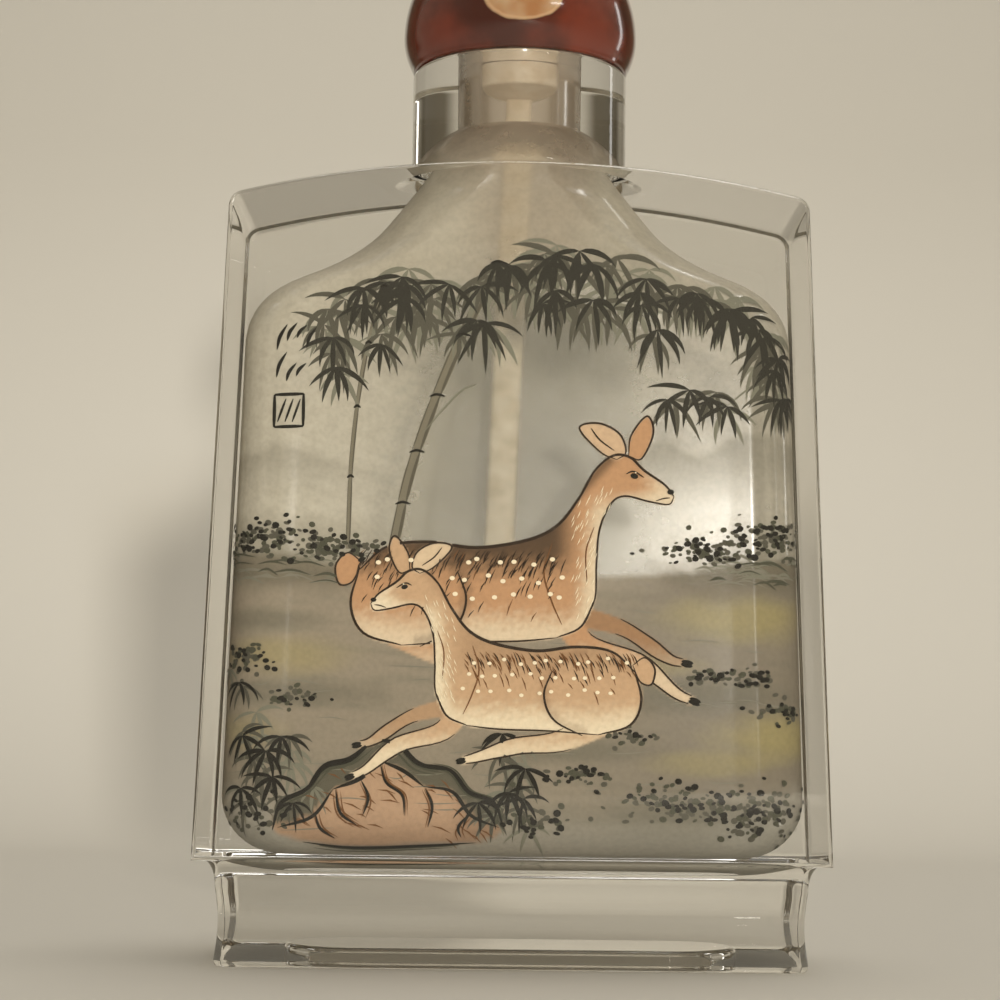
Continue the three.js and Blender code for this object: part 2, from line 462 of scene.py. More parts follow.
def join(base: bpy.types.Object, other: bpy.types.Object, operation: str) -> None:
    """Joins another piece to the base, or cuts it out, and removes it."""
    step = base.modifiers.new(operation, "BOOLEAN")
    step.object, step.operation, step.solver = other, operation, "EXACT"
    result = bpy.data.meshes.new_from_object(base.evaluated_get(bpy.context.evaluated_depsgraph_get()))
    base.modifiers.clear()
    base.data = result
    bpy.data.objects.remove(other)


# --------------------------------------------------------------------------- glass


@dataclass(frozen=True)
class GlassForm:
    """Sizes of the glass. The outer three come from the frame."""

    width: float
    depth: float
    lip: float
    body_z: float = 8.0
    shoulder_width: float = 44.6
    shoulder_z: float = 58.8
    arch_z: float = 61.6
    edge: float = 0.4
    shoulder_rounding: float = 1.0
    foot_width: float = 44.8
    foot_depth: float = 18.4
    foot_hollow: float = 0.25
    foot_chamfer: float = 0.4
    foot_corner: float = 0.7
    cove_reach: float = 0.9
    cove_height: float = 2.0
    recess_length: float = 35.0
    recess_width: float = 11.0
    recess_deep: float = 1.2
    recess_round: float = 0.5
    neck: float = 8.7
    lip_edge: float = 0.4
    neck_cove: float = 1.5
    bore: float = 3.25
    floor: float = 8.3
    low_width: float = 44.4
    high_width: float = 42.4
    hollow_depth: float = 16.0
    floor_round: float = 4.5
    shoulder_start: float = 48.0
    bore_start: float = 66.2
    shoulder_curves: tuple = (
        ((20.95, 51.6), (17.0, 53.1)), ((12.4, 54.8), (10.4, 57.4)), ((8.0, 60.5), (6.9, 62.2)),
        ((5.0, 65.2), (3.25, 66.2)),
    )
    hollow_corner: float = 3.6
    sharp: float = 32.0

    @classmethod
    def from_frame(cls) -> "GlassForm":
        """The sizes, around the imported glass."""
        low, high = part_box("bottle")
        return cls(width=(high[0] - low[0]) / MM, depth=(high[1] - low[1]) / MM, lip=high[2] / MM)

    @property
    def arch_radius(self) -> float:
        """Radius of the arched shoulder."""
        rise = self.arch_z - self.shoulder_z
        return (rise**2 + (self.shoulder_width / 2) ** 2) / (2 * rise)

    def arch_height(self, x: float) -> float:
        """Height of the shoulder at a distance from the middle."""
        return self.arch_z - self.arch_radius + math.sqrt(self.arch_radius**2 - x**2)


class Hollow:
    """The inner wall: its section at each height, and places on its surface."""

    def __init__(self, form: GlassForm) -> None:
        """Works out the profile of the sides.

        Args:
            form: The glass's sizes.
        """
        self.form = form
        start = (form.high_width / 2, form.shoulder_start)
        curves = [[(form.low_width / 2, form.floor + form.floor_round)]]
        for bend, end in form.shoulder_curves:
            curves.append(quadratic(start, bend, end, 10))
            start = end
        profile = np.concatenate([*curves, [(form.bore, form.lip + PAST)]])
        self._z, self._half = profile[:, 1], profile[:, 0]

    def section(self, z: np.ndarray) -> tuple[np.ndarray, np.ndarray, np.ndarray]:
        """The section at each height.

        Args:
            z: Heights.

        Returns:
            Half widths, half depths and corner radii.
        """
        form = self.form
        half = np.interp(z, self._z, self._half)
        closed = np.clip((z - form.shoulder_start) / (form.bore_start - form.shoulder_start), 0, 1)
        depth = form.hollow_depth / 2 + (form.bore - form.hollow_depth / 2) * closed**3
        low = np.clip((z - form.floor) / form.floor_round, 0, 1)
        inset = form.floor_round * (1 - np.sqrt(np.clip(1 - (1 - low) ** 2, 0, 1)))
        half, depth = half - inset, depth - inset
        roundness = form.hollow_corner + (np.minimum(half, depth) - form.hollow_corner) * closed
        return half, depth, np.minimum(roundness, np.minimum(half, depth))

    def heights(self, wall_steps: int) -> np.ndarray:
        """Heights of rings from the floor to the lip, close together where the wall turns."""
        form = self.form
        turn = form.floor + form.floor_round * (1 - np.cos(np.linspace(0, math.pi / 2, 13)))
        wall = np.linspace(turn[-1], form.shoulder_start, wall_steps)[1:]
        shoulder = np.linspace(form.shoulder_start, form.bore_start, 44)[1:]
        return np.concatenate([turn, wall, shoulder, [form.lip]])

    def _surface(self, u: np.ndarray, z: np.ndarray) -> np.ndarray:
        """Points on the front half of the wall, at a distance u round from its middle."""
        half, depth, corner = self.section(z)
        flat = half - corner
        side, away = np.sign(u), np.abs(u)
        turn = np.clip((away - flat) / np.maximum(corner, 1e-6), 0, math.pi / 2)
        along = np.clip(away - flat - corner * math.pi / 2, 0, None)
        x = side * (np.minimum(away, flat) + corner * np.sin(turn))
        y = -(depth - corner) - corner * np.cos(turn) + along
        return np.stack([x, y, z], axis=-1)

    def reach(self, z: np.ndarray) -> np.ndarray:
        """The distance round from the front's middle to the side's middle."""
        half, depth, corner = self.section(z)
        return half - corner + corner * math.pi / 2 + (depth - corner)

    def place(self, u: np.ndarray, z: np.ndarray, lift: float, facing: int = 1) -> np.ndarray:
        """Points just inside the glass, over the wall.

        Args:
            u: Distances round from the middle of the face.
            z: Heights.
            lift: The distance from the wall, into the glass.
            facing: 1 for the front and -1 for the back.

        Returns:
            The points.
        """
        u, z = np.asarray(u, float), np.asarray(z, float)
        step = 0.02
        across = self._surface(u + step, z) - self._surface(u - step, z)
        upward = self._surface(u, z + step) - self._surface(u, z - step)
        normal = np.cross(across, upward)
        normal /= np.maximum(np.linalg.norm(normal, axis=-1, keepdims=True), 1e-9)
        points = self._surface(u, z) + normal * lift
        points[..., :2] *= facing
        return points


class Bottle:
    """The glass itself: slab, foot and neck, hollowed from the mouth."""

    def __init__(self, form: GlassForm, hollow: Hollow) -> None:
        """Keeps the sizes.

        Args:
            form: The glass's sizes.
            hollow: Its inner wall.
        """
        self.form = form
        self.hollow = hollow

    def _outline(self) -> np.ndarray:
        """The slab's front outline, counter-clockwise from its lower left."""
        form = self.form
        half = form.shoulder_width / 2
        end = half - form.shoulder_rounding
        slope = (form.width - form.shoulder_width) / 2 / (form.shoulder_z - form.body_z)
        side = (half + slope * form.shoulder_rounding, form.shoulder_z - form.shoulder_rounding)
        corner = quadratic(side, (half, form.shoulder_z), (end, form.arch_height(end)), 8)
        xs = np.linspace(end, -end, 90)[1:-1]
        crown = np.column_stack([xs, [form.arch_height(x) for x in xs]])
        left = corner[::-1] * (-1, 1)
        base = np.array([(-form.width / 2, form.body_z), (form.width / 2, form.body_z)])
        return np.concatenate([base, corner, crown, left])

    def _slab(self) -> Shell:
        """The slab, with a fine rounded edge to its two faces."""
        outline = self._outline()
        ahead = np.roll(outline, -1, axis=0) - outline
        ahead /= np.linalg.norm(ahead, axis=1, keepdims=True)
        behind = np.roll(ahead, 1, axis=0)
        both = ahead + behind
        inward = np.column_stack([-both[:, 1], both[:, 0]]) / (1 + (ahead * behind).sum(1))[:, None]
        half, edge = self.form.depth / 2, self.form.edge
        rings = []
        for turn in np.radians(np.linspace(0, 90, 5)):
            ring = outline + inward * edge * (1 - math.sin(turn))
            y = -half + edge * (1 - math.cos(turn))
            rings.append(np.column_stack([ring[:, 0], np.full(len(ring), y), ring[:, 1]]))
        rings += [ring * (1, -1, 1) for ring in rings[::-1]]
        points, faces = loft(rings)
        return points, [face[::-1] for face in faces]

    def _foot(self) -> Shell:
        """The foot, from its chamfer through its waist and cove into the slab."""
        form = self.form
        chamfer = form.foot_chamfer
        cove_z = form.body_z - form.cove_height
        chamfer_z = chamfer * 1.5
        turn = arc((0, chamfer), chamfer, -90, 0, 4)
        levels = [(chamfer * 1.5 * z / chamfer, -chamfer + out) for out, z in turn]
        for share in np.linspace(0, 1, 17)[1:]:
            z = chamfer_z + (cove_z - chamfer_z) * share
            levels.append((z, -form.foot_hollow * math.sin(math.pi * share)))
        for turn in np.radians(np.linspace(0, 90, 13))[1:]:
            out = form.cove_reach * (1 - math.cos(turn))
            levels.append((cove_z + form.cove_height * math.sin(turn), out))
        levels.append((form.body_z + form.edge, form.cove_reach))
        return loft([
            rounded_ring(form.foot_width / 2 + out, form.foot_depth / 2 + out, form.foot_corner, z, 7)
            for z, out in levels
        ])

    def _neck(self) -> Shell:
        """The neck, with its cove and eased lip."""
        form = self.form
        cove_foot = form.neck + form.neck_cove
        cove_z = form.arch_height(cove_foot)
        profile = [(cove_foot, cove_z - 2)]
        profile += arc((cove_foot, cove_z + form.neck_cove), form.neck_cove, -90, -180, 10)
        profile += arc((form.neck - form.lip_edge, form.lip - form.lip_edge), form.lip_edge, 0, 90, 6)
        return turned(profile, 144)

    def _cut(self) -> Shell:
        """The hollow, a little past the lip."""
        heights = np.append(self.hollow.heights(20), self.form.lip + PAST)
        half, depth, corner = self.hollow.section(heights)
        return loft([rounded_ring(*size, 17) for size in zip(half, depth, corner, heights)])

    def _recess(self) -> Shell:
        """The shallow recess in the foot, with its rounded floor edge."""
        form = self.form
        length, width, turn = form.recess_length, form.recess_width, form.recess_round
        edge = arc((-turn, form.recess_deep - turn), turn, 0, 90, 5)
        return loft([
            rounded_ring(length / 2 + x, width / 2 + x, width, z, 24) for x, z in [(0.0, -PAST), *edge]
        ])

    def build(self) -> bpy.types.Object:
        """Makes the glass.

        Returns:
            The piece.
        """
        slots = [POLISHED.material(), FROSTED.material()]
        glass = add_piece("glass", *self._slab(), slots)
        for name, shell in (("foot", self._foot()), ("neck", self._neck())):
            join(glass, add_piece(name, *shell, slots), "UNION")
        cut = add_piece("cut", *self._cut(), slots)
        cut.data.polygons.foreach_set("material_index", [1] * len(cut.data.polygons))
        join(glass, cut, "DIFFERENCE")
        join(glass, add_piece("recess", *self._recess(), slots), "DIFFERENCE")
        glass.data.shade_smooth()
        glass.data.set_sharp_from_angle(angle=math.radians(self.form.sharp))
        even = glass.modifiers.new("even", "WEIGHTED_NORMAL")
        even.keep_sharp, even.weight = True, 100
        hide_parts("bottle")
        return glass


# --------------------------------------------------------------------------- brushwork


FACES = {1: "front", -1: "back"}


def curve(points: Line, steps: int = 6, closed: bool = False) -> np.ndarray:
    """A smooth line through points.

    Args:
        points: Its corners.
        steps: Points to each span.
        closed: Whether it comes back to its start.

    Returns:
        The line.
    """
    pts = np.asarray(points, float)
    if closed:
        pts = np.concatenate([pts[-1:], pts, pts[:2]])
    else:
        pts = np.concatenate([2 * pts[:1] - pts[1:2], pts, 2 * pts[-1:] - pts[-2:-1]])
    t = np.linspace(0, 1, steps, endpoint=False)[:, None]
    spans = []
    for a, b, c, d in zip(pts, pts[1:], pts[2:], pts[3:]):
        spans.append(0.5 * (2 * b + (c - a) * t + (2 * a - 5 * b + 4 * c - d) * t**2
                            + (3 * b - a - 3 * c + d) * t**3))
    return np.concatenate(spans if closed else [*spans, pts[-2:-1]])


def across(path: np.ndarray) -> np.ndarray:
    """Unit steps square to a line, to its left, at each of its points."""
    ahead = np.gradient(path, axis=0)
    ahead /= np.maximum(np.linalg.norm(ahead, axis=1, keepdims=True), 1e-9)
    return np.column_stack([-ahead[:, 1], ahead[:, 0]])


class Brush:
    """Strokes over one face of the wall, one flat mesh to a pigment."""

    FIRST_LIFT = 0.06
    LAYER = 0.01
    STEP = 0.0003
    STEPS = 30
    DAB = 0.46

    def __init__(self, hollow: Hollow, facing: int, seed: int) -> None:
        """Starts with a clean wall.

        Args:
            hollow: The inner wall.
            facing: 1 for the front and -1 for the back.
            seed: The seed of the hand's unevenness.
        """
        self.hollow = hollow
        self.facing = facing
        self.rng = np.random.default_rng(seed)
        self.points: dict[Pigment, list[np.ndarray]] = {pigment: [] for pigment in Pigment}
        self.faces: dict[Pigment, list[list[int]]] = {pigment: [] for pigment in Pigment}
        self._sizes: dict[Pigment, int] = {pigment: 0 for pigment in Pigment}
        self._marks = 0

    def _add(self, pigment: Pigment, flat: np.ndarray, faces: Sequence[Sequence[int]]) -> None:
        """Adds one mark, a hair above the last."""
        self._marks += 1
        lift = self.FIRST_LIFT + pigment.value[1] * self.LAYER + self._marks % self.STEPS * self.STEP
        first = self._sizes[pigment]
        self.points[pigment].append(np.column_stack([flat, np.full(len(flat), lift)]))
        self.faces[pigment] += [[first + i for i in face] for face in faces]
        self._sizes[pigment] += len(flat)

    def hide(self, veils: Sequence[np.ndarray]) -> None:
        """Takes away what has been drawn so far within some outlines.

        Args:
            veils: The outlines of nearer figures.
        """
        for pigment, faces in self.faces.items():
            if not faces:
                continue
            flat = np.concatenate(self.points[pigment])[:, :2]
            u, z = np.array([flat[face].mean(axis=0) for face in faces]).T
            hidden = np.zeros(len(faces), bool)
            for veil in veils:
                hidden |= inside(veil, u, z)
            self.faces[pigment] = [face for face, gone in zip(faces, hidden) if not gone]

    def stroke(self, pigment: Pigment, path: np.ndarray, width: float, fullness: float = 0.5,
               skew: float = 1.0) -> None:
        """Draws a ribbon that thins toward its ends.

        Args:
            pigment: The paint.
            path: Its middle line.
            width: Its greatest width.
            fullness: 1 tapers evenly, and less keeps the middle broad.
            skew: Below 1 the broadest place comes early.
        """
        path = np.asarray(path, float)
        share = np.linspace(0, 1, len(path)) ** skew
        half = width / 2 * np.maximum(np.sin(math.pi * share), 0.03) ** fullness
        side = across(path) * half[:, None]
        count = len(path)
        faces = [[i, i + 1, count + i + 1, count + i] for i in range(count - 1)]
        self._add(pigment, np.concatenate([path - side, path + side]), faces)

    def line(self, pigment: Pigment, points: Line, width: float,
             fullness: float = 0.35) -> None:
        """Draws a smooth line through a few points."""
        self.stroke(pigment, curve(points), width, fullness)

    def dot(self, pigment: Pigment, u: float, z: float, wide: float, high: float,
            turn: float = 0.0) -> None:
        """Sets down a small oval."""
        angle = np.linspace(0, 2 * math.pi, 9)[:-1]
        a, b = wide / 2 * np.cos(angle), high / 2 * np.sin(angle)
        x = u + a * math.cos(turn) - b * math.sin(turn)
        y = z + a * math.sin(turn) + b * math.cos(turn)
        self._add(pigment, np.column_stack([x, y]), [list(range(8))])

    def leaf(self, pigment: Pigment, root: Sequence[float], angle: float, length: float,
             width: float, bend: float) -> None:
        """Draws one pointed leaf.

        Args:
            pigment: The paint.
            root: Where it starts.
            angle: Its first direction, in degrees from level.
            length: Its length.
            width: Its width.
            bend: The degrees it turns along the way.
        """
        turns = np.radians(angle + bend * np.linspace(0, 1, 7))
        steps = np.column_stack([np.cos(turns), np.sin(turns)]) * (length / 7)
        path = np.concatenate([[root], np.asarray(root) + np.cumsum(steps, axis=0)])
        self.stroke(pigment, path, width, 0.9, 0.72)

    def spray(self, root: Sequence[float], size: float, pigment: Pigment, count: int = 5,
              middle: float = -90.0, spread: float = 120.0) -> None:
        """Draws a fan of hanging leaves.

        Args:
            root: Their common root.
            size: The leaves' length.
            pigment: The paint.
            count: The leaves.
            middle: The fan's middle direction.
            spread: Degrees across the fan.
        """
        for share in np.linspace(-0.5, 0.5, count):
            angle = middle + spread * share + self.rng.normal(0, 7)
            length = size * self.rng.uniform(0.75, 1.1) * (1.05 - 0.3 * abs(share))
            bend = -52 * math.cos(math.radians(angle)) * self.rng.uniform(0.5, 1.4)
            self.leaf(pigment, root, angle, length, size * self.rng.uniform(0.1, 0.135), bend)

    def bough(self, points: Line, nodes: int, size: float, reach: float,
              middle: float = -90.0) -> None:
        """Draws a twig hung with sprays, paler ones behind.

        Args:
            points: The twig.
            nodes: Its sprays.
            size: The leaves' length.
            reach: How far sprays stray from the twig.
            middle: The sprays' middle direction.
        """
        twig = curve(points, 8)
        self.stroke(Pigment.PALE_LEAF, twig, 0.14, 0.3)
        for place in np.linspace(0, len(twig) - 1, nodes):
            for pigment, share, leaves in ((Pigment.PALE_LEAF, 1.3, 4), (Pigment.LEAF, 1.0, 4),
                                           (Pigment.LEAF_DARK, 0.8, 5)):
                if self.rng.random() < 0.25:
                    continue
                stray = np.clip(self.rng.normal(0, 1, 2), -1.6, 1.6) * reach * share * (1.0, 0.8)
                root = twig[int(round(place))] + stray
                self.spray(root, size * self.rng.uniform(0.85, 1.15), pigment, leaves,
                           middle + self.rng.normal(0, 12), self.rng.uniform(130, 190))

    def moss(self, centre: Sequence[float], reach: Sequence[float], count: int) -> None:
        """Dabs an uneven patch of dots."""
        for _ in range(count):
            u, z = self.rng.normal(0, 0.45, 2) * reach + centre
            z = max(z, self.hollow.form.floor + 0.5)
            wide = self.DAB * self.rng.uniform(0.6, 1.35)
            pigment = (Pigment.INK, Pigment.MOSS, Pigment.LEAF)[self.rng.integers(3)]
            high = wide * self.rng.uniform(0.5, 0.95)
            self.dot(pigment, u, z, wide, high, self.rng.uniform(-0.5, 0.5))

    def culm(self, points: Line, width: float, joints: int) -> None:
        """Draws a jointed stem, with a dark line across each joint."""
        stem = curve(points, 12)
        places = np.linspace(0, len(stem) - 1, joints + 1).astype(int)
        for a, b in zip(places, places[1:]):
            part = stem[a:b + 1]
            self.stroke(Pigment.CULM, part, width, 0.12)
            for shift, share in ((0.32, 0.3), (-0.44, 0.12)):
                self.stroke(Pigment.CULM_SHADE, part + (shift * width, 0), share * width, 0.3)
            u, z = stem[b]
            joint = [(u - 0.7 * width, z - 0.12), (u, z + 0.05), (u + 0.75 * width, z - 0.1)]
            self.line(Pigment.INK, joint, 0.2)

    def pieces(self) -> list[bpy.types.Object]:
        """Makes the meshes.

        Returns:
            One object for each paint in use.
        """
        made = []
        for pigment in Pigment:
            if not self.faces[pigment]:
                continue
            u, z, lift = np.concatenate(self.points[pigment]).T
            points = self.hollow.place(u, z, lift[:, None], self.facing)
            name = f"ink_{pigment.name.lower()}_{FACES[self.facing]}"
            paint = [pigment.material()]
            made.append(add_piece(name, points, self.faces[pigment], paint, smoothed=False))
        return made


def inside(outline: np.ndarray, u: np.ndarray, z: np.ndarray) -> np.ndarray:
    """Which points lie within a closed outline."""
    within = np.zeros(np.shape(u), bool)
    for (x1, y1), (x2, y2) in zip(outline, np.roll(outline, -1, axis=0)):
        if y1 != y2:
            within ^= ((y1 > z) != (y2 > z)) & (u < (x2 - x1) * (z - y1) / (y2 - y1) + x1)
    return within


def nearness(path: np.ndarray, radii: np.ndarray, u: np.ndarray, z: np.ndarray) -> np.ndarray:
    """The distance of points to a line of varying half width, negative within it."""
    nearest = np.full(np.shape(u), 1e3)
    for (ax, ay), (bx, by), ra, rb in zip(path, path[1:], radii, radii[1:]):
        length = max((bx - ax) ** 2 + (by - ay) ** 2, 1e-12)
        t = np.clip(((u - ax) * (bx - ax) + (z - ay) * (by - ay)) / length, 0, 1)
        away = np.hypot(u - ax - t * (bx - ax), z - ay - t * (by - ay))
        nearest = np.minimum(nearest, away - (ra + (rb - ra) * t))
    return nearest


class Tone:
    """Colours of the wash, from the neck down to the hollow's corners."""

    SHOULDER = linear((196, 186, 164))
    NECK = linear((188, 166, 144))
    NECK_MIDDLE = linear((150, 132, 110))
    HILL = linear((112, 107, 92))
    LOW_HILL = linear((124, 119, 104))
    MEADOW = linear((144, 133, 115))
    STREAK = linear((118, 114, 98))
    NEAR_MEADOW = linear((112, 106, 92))
    RIGHT_MEADOW = linear((112, 104, 90))
    OCHRE = linear((156, 143, 90))
    DIP = linear((92, 90, 76))
    BUSH = linear((98, 92, 76))
    BUSH_TOP = linear((110, 105, 88))
    BOTTOM = linear((164, 160, 146))
    CORNER = linear((170, 166, 152))


class WallWash:
    """The wash on one face of the wall: a fine sheet with a colour and a cover at each point."""

    LIFT = 0.03
    FIRST_COVER = 0.44
    WAVES = 9
    MIST = {1: linear((206, 198, 178)), -1: linear((146, 140, 122))}
    # The darker mist colour is painted shade, for where less light falls on the frosted wall.
    MIST_PAINTED_SHADE = {1: linear((146, 141, 125)), -1: linear((118, 113, 98))}

    def __init__(self, hollow: Hollow, facing: int, columns: int, wall_steps: int) -> None:
        """Starts with plain mist.

        Args:
            hollow: The inner wall.
            facing: 1 for the front and -1 for the back.
            columns: Points across.
            wall_steps: Rows up the straight part of the wall.
        """
        self.hollow = hollow
        self.facing = facing
        self.columns = columns
        heights = hollow.heights(wall_steps)
        self.z = np.repeat(heights, columns)
        self.u = np.tile(np.linspace(-1, 1, columns), len(heights)) * hollow.reach(self.z)
        self.colour = np.tile(np.array(self.MIST[facing]), (len(self.z), 1))
        self.cover = np.full(len(self.z), self.FIRST_COVER)

    def lay(self, mask: np.ndarray, colour: Rgb, cover: float | None = None) -> None:
        """Washes a colour over the wall.

        Args:
            mask: How strongly, at each point.
            colour: Linear colour.
            cover: The cover where the mask is full, if it changes.
        """
        self.colour += (np.array(colour) - self.colour) * mask[:, None]
        if cover is not None:
            self.cover += (cover - self.cover) * mask

    def ripple(self, scale: float, seed: int, stretch: float = 1.0) -> np.ndarray:
        """Soft unevenness between about -1 and 1.

        Args:
            scale: The size of its waves.
            seed: Its seed.
            stretch: How much longer they are across than up.

        Returns:
            Its value at each point.
        """
        rng = np.random.default_rng(seed)
        total = np.zeros(len(self.u))
        for _ in range(self.WAVES):
            turn, phase = rng.uniform(0, 2 * math.pi, 2)
            pitch = scale * rng.uniform(0.5, 1.6)
            along = self.u / stretch * math.cos(turn) + self.z * math.sin(turn)
            total += np.sin(2 * math.pi * along / pitch + phase)
        return total * 2 / self.WAVES

    def oval(self, u: float, z: float, wide: float, high: float, edge: float) -> np.ndarray:
        """A soft oval of half sizes wide and high."""
        far = np.hypot((self.u - u) / wide, (self.z - z) / high)
        return smooth(1 + edge, 1 - edge, far + 0.16 * self.ripple(2.2, int(10 * wide), 2.0))

    def below(self, crest: Line, edge: float) -> np.ndarray:
        """The wall below a crest line."""
        us, zs = curve(crest).T
        top = np.interp(self.u, us, zs) + 0.12 * self.ripple(1.6, len(crest))
        return smooth(edge / 2, -edge / 2, self.z - top)

    def within(self, outline: np.ndarray, edge: float) -> np.ndarray:
        """The inside of a closed outline, soft by the edge."""
        closed = np.concatenate([outline, outline[:1]])
        near = nearness(closed, np.zeros(len(closed)), self.u, self.z)
        signed = np.where(inside(outline, self.u, self.z), -near, near)
        return smooth(edge, -edge, signed)

    def mist(self) -> None:
        """The empty sky, darker in the middle by painted shade, lighter at the upper left by painted
        light, and thinner in the neck.
        """
        # Painted shade: the mist darkens from the left toward the middle and fades out again toward the
        # right, as light falls on the frosted wall.
        shade = smooth(-13, -2, self.u + 0.2 * (40 - self.z)) * (0.9 - 0.8 * smooth(3, 14, self.u))
        self.lay(np.clip(shade + 0.07 * self.ripple(9, 1), 0, 1), self.MIST_PAINTED_SHADE[self.facing])
        # Painted light: a thicker pale cover at the left makes that side lighter.
        self.cover += 0.2 * smooth(-6, -16, self.u)
        self.lay(smooth(48, 58, self.z) * 0.7, Tone.SHOULDER, 0.62)
        self.lay(smooth(60, 68, self.z) * 0.6, Tone.NECK, 0.4)
        self.lay(smooth(7, 2, abs(self.u - 1)) * smooth(48, 58, self.z) * 0.5, Tone.NECK_MIDDLE)
        self.cover += 0.03 * self.ripple(1.2, 2, 1.5)

    def build(self) -> bpy.types.Object:
        """Makes the sheet.

        Returns:
            The object, with its colours as an attribute.
        """
        points = self.hollow.place(self.u, self.z, self.LIFT, self.facing)
        rows = len(self.z) // self.columns
        start = (np.arange(rows - 1)[:, None] * self.columns + np.arange(self.columns - 1)).ravel()
        faces = np.column_stack([start, start + 1, start + self.columns + 1, start + self.columns])
        sheet = add_piece(f"wash_{FACES[self.facing]}", points, faces.tolist(), [Wash().material()])
        paint = sheet.data.attributes.new("paint", "FLOAT_COLOR", "POINT")
        cover = np.clip(self.cover, 0, 1)
        paint.data.foreach_set("color", np.column_stack([np.clip(self.colour, 0, 1), cover]).ravel())
        return sheet


@dataclass
class Figure:
    """Something painted on the wall, from outlines at full size that look to the right."""

    u: float
    z: float
    scale: float
    facing: int

    def at(self, points: Line) -> np.ndarray:
        """Points of the figure, in their place on the wall."""
        return np.asarray(points, float) * self.scale * (self.facing, 1) + (self.u, self.z)

    def ring(self, points: Line) -> np.ndarray:
        """A smooth closed outline of the figure, in its place on the wall."""
        return curve(self.at(points), closed=True)

    def own(self, wall: WallWash) -> tuple[np.ndarray, np.ndarray]:
        """The wall's points as the figure's own x and y."""
        return (wall.u - self.u) * self.facing / self.scale, (wall.z - self.z) / self.scale


@dataclass
class Deer(Figure):
    """A lying deer with its head up."""

    coat: Rgb
    back: Rgb
    belly: Rgb
    dark_back: float
    body: tuple = (
        (6.3, -2.7), (7.3, -0.6), (7.4, 2.0), (7.6, 4.6), (8.4, 6.6), (9.5, 7.3), (11.4, 6.9),
        (12.9, 6.7), (13.3, 7.3), (12.6, 8.2), (11.0, 9.3), (9.9, 10.3), (8.6, 10.4), (7.2, 9.2),
        (5.9, 6.9), (4.3, 4.9), (2.0, 3.8), (-1.8, 3.2), (-5.4, 3.6), (-8.6, 3.2), (-10.7, 1.4),
        (-11.3, -1.2), (-10.3, -3.4), (-7.4, -4.3), (-3.0, -4.0), (1.4, -3.9), (4.4, -3.6),
    )
    ear: tuple = ((8.9, 10.1), (7.6, 10.7), (6.0, 12.5), (7.5, 12.9), (9.1, 12.1), (9.6, 10.7))
    far_ear: tuple = ((9.8, 10.4), (10.0, 12.0), (11.2, 13.5), (11.7, 12.2), (10.8, 10.2))
    tail: tuple = ((-10.5, 2.0), (-11.6, 2.7), (-12.5, 1.7), (-12.2, 0.3), (-11.2, 0.5))
    near_leg: tuple = ((4.9, -1.6), (6.6, -4.1), (10.6, -5.4), (13.4, -7.6), (14.6, -8.2))
    far_leg: tuple = ((6.4, -2.0), (9.6, -2.9), (12.8, -5.0), (14.0, -5.4))
    hind_leg: tuple = ((-7.6, -3.2), (-4.0, -4.9), (0.0, -5.4), (3.4, -6.4), (4.6, -6.7))

    def _limbs(self) -> list[tuple[np.ndarray, np.ndarray]]:
        """The legs' middle lines and half widths, the far one first."""
        limbs = []
        for path, start, end in ((self.far_leg, 0.8, 0.3), (self.near_leg, 1.2, 0.32),
                                 (self.hind_leg, 1.3, 0.34)):
            line = curve(self.at(path))
            share = np.linspace(0, 1, len(line))
            knee = 0.12 * np.exp(-(((share - 0.55) / 0.1) ** 2))
            limbs.append((line, (end + (start - end) * (1 - share) ** 1.6 + knee) * self.scale))
        return limbs

    def veil(self) -> list[np.ndarray]:
        """Closed outlines of all that hides what is behind."""
        veils = [self.ring(points) for points in (self.body, self.ear, self.far_ear, self.tail)]
        for path, radii in self._limbs():
            reach = across(path) * radii[:, None]
            veils.append(np.concatenate([path + reach, (path - reach)[::-1]]))
        return veils

    def _wash_body(self, wall: WallWash, mask: np.ndarray, fur: np.ndarray) -> None:
        """Colours the back, belly, chest, muzzle, throat, nape and haunch."""
        x, y = self.own(wall)
        torso = smooth(6.5, 4.0, x)
        wall.lay(mask * smooth(0.2, 3.2, y + fur - 0.02 * x) * torso * self.dark_back, self.back)
        wall.lay(mask * smooth(-0.8, -3.6, y + fur) * 0.85, self.belly)
        chest = mask * smooth(5.7, 7.4, x - 0.12 * (y - 2) + 0.5 * fur)
        wall.lay(chest * smooth(8.0, 5.5, y) * 0.9, self.belly)
        wall.lay(mask * smooth(10.4, 12.6, x + fur) * 0.7, self.belly)
        throat = mask * smooth(7.8, 6.9, y - 0.1 * (x - 9))
        wall.lay(throat * smooth(8.6, 9.6, x) * 0.6, self.belly)
        nape = smooth(1.1, 0.0, x - np.interp(y, (3.8, 10.4), (2.6, 8.6))) * smooth(3.5, 5, y)
        wall.lay(mask * nape * 0.75 * self.dark_back, self.back)
        haunch = np.hypot((x + 6.6) / 3.9, (y + 0.4) / 3.4) + 0.1 * fur
        wall.lay(mask * smooth(1.3, 0.2, haunch) * 0.45, self.coat)
        wall.lay(mask * smooth(0.2, 0.0, abs(haunch - 1.05)) * (x > -6.5) * 0.35, self.back)

    def wash(self, wall: WallWash) -> None:
        """Colours the coat.

        Args:
            wall: The wash it is laid on.
        """
        _, y = self.own(wall)
        fur = 0.35 * wall.ripple(0.9, 5) + 0.2 * wall.ripple(0.4, 6)
        edge = 0.1
        for index, (path, radii) in enumerate(self._limbs()):
            mask = smooth(edge, -edge, nearness(path, radii, wall.u, wall.z))
            wall.lay(mask, self.coat, 1.0)
            wall.lay(mask * smooth(-3.4, -6.6, y + fur) * 0.75, self.belly)
            if index == 0:
                wall.lay(mask * 0.35, self.back)
        for points in (self.tail, self.far_ear, self.body, self.ear):
            mask = wall.within(self.ring(points), edge)
            wall.lay(mask, self.coat, 1.0)
            if points is self.body:
                self._wash_body(wall, mask, fur)
            if points is self.ear:
                wall.lay(mask * 0.4, self.belly)

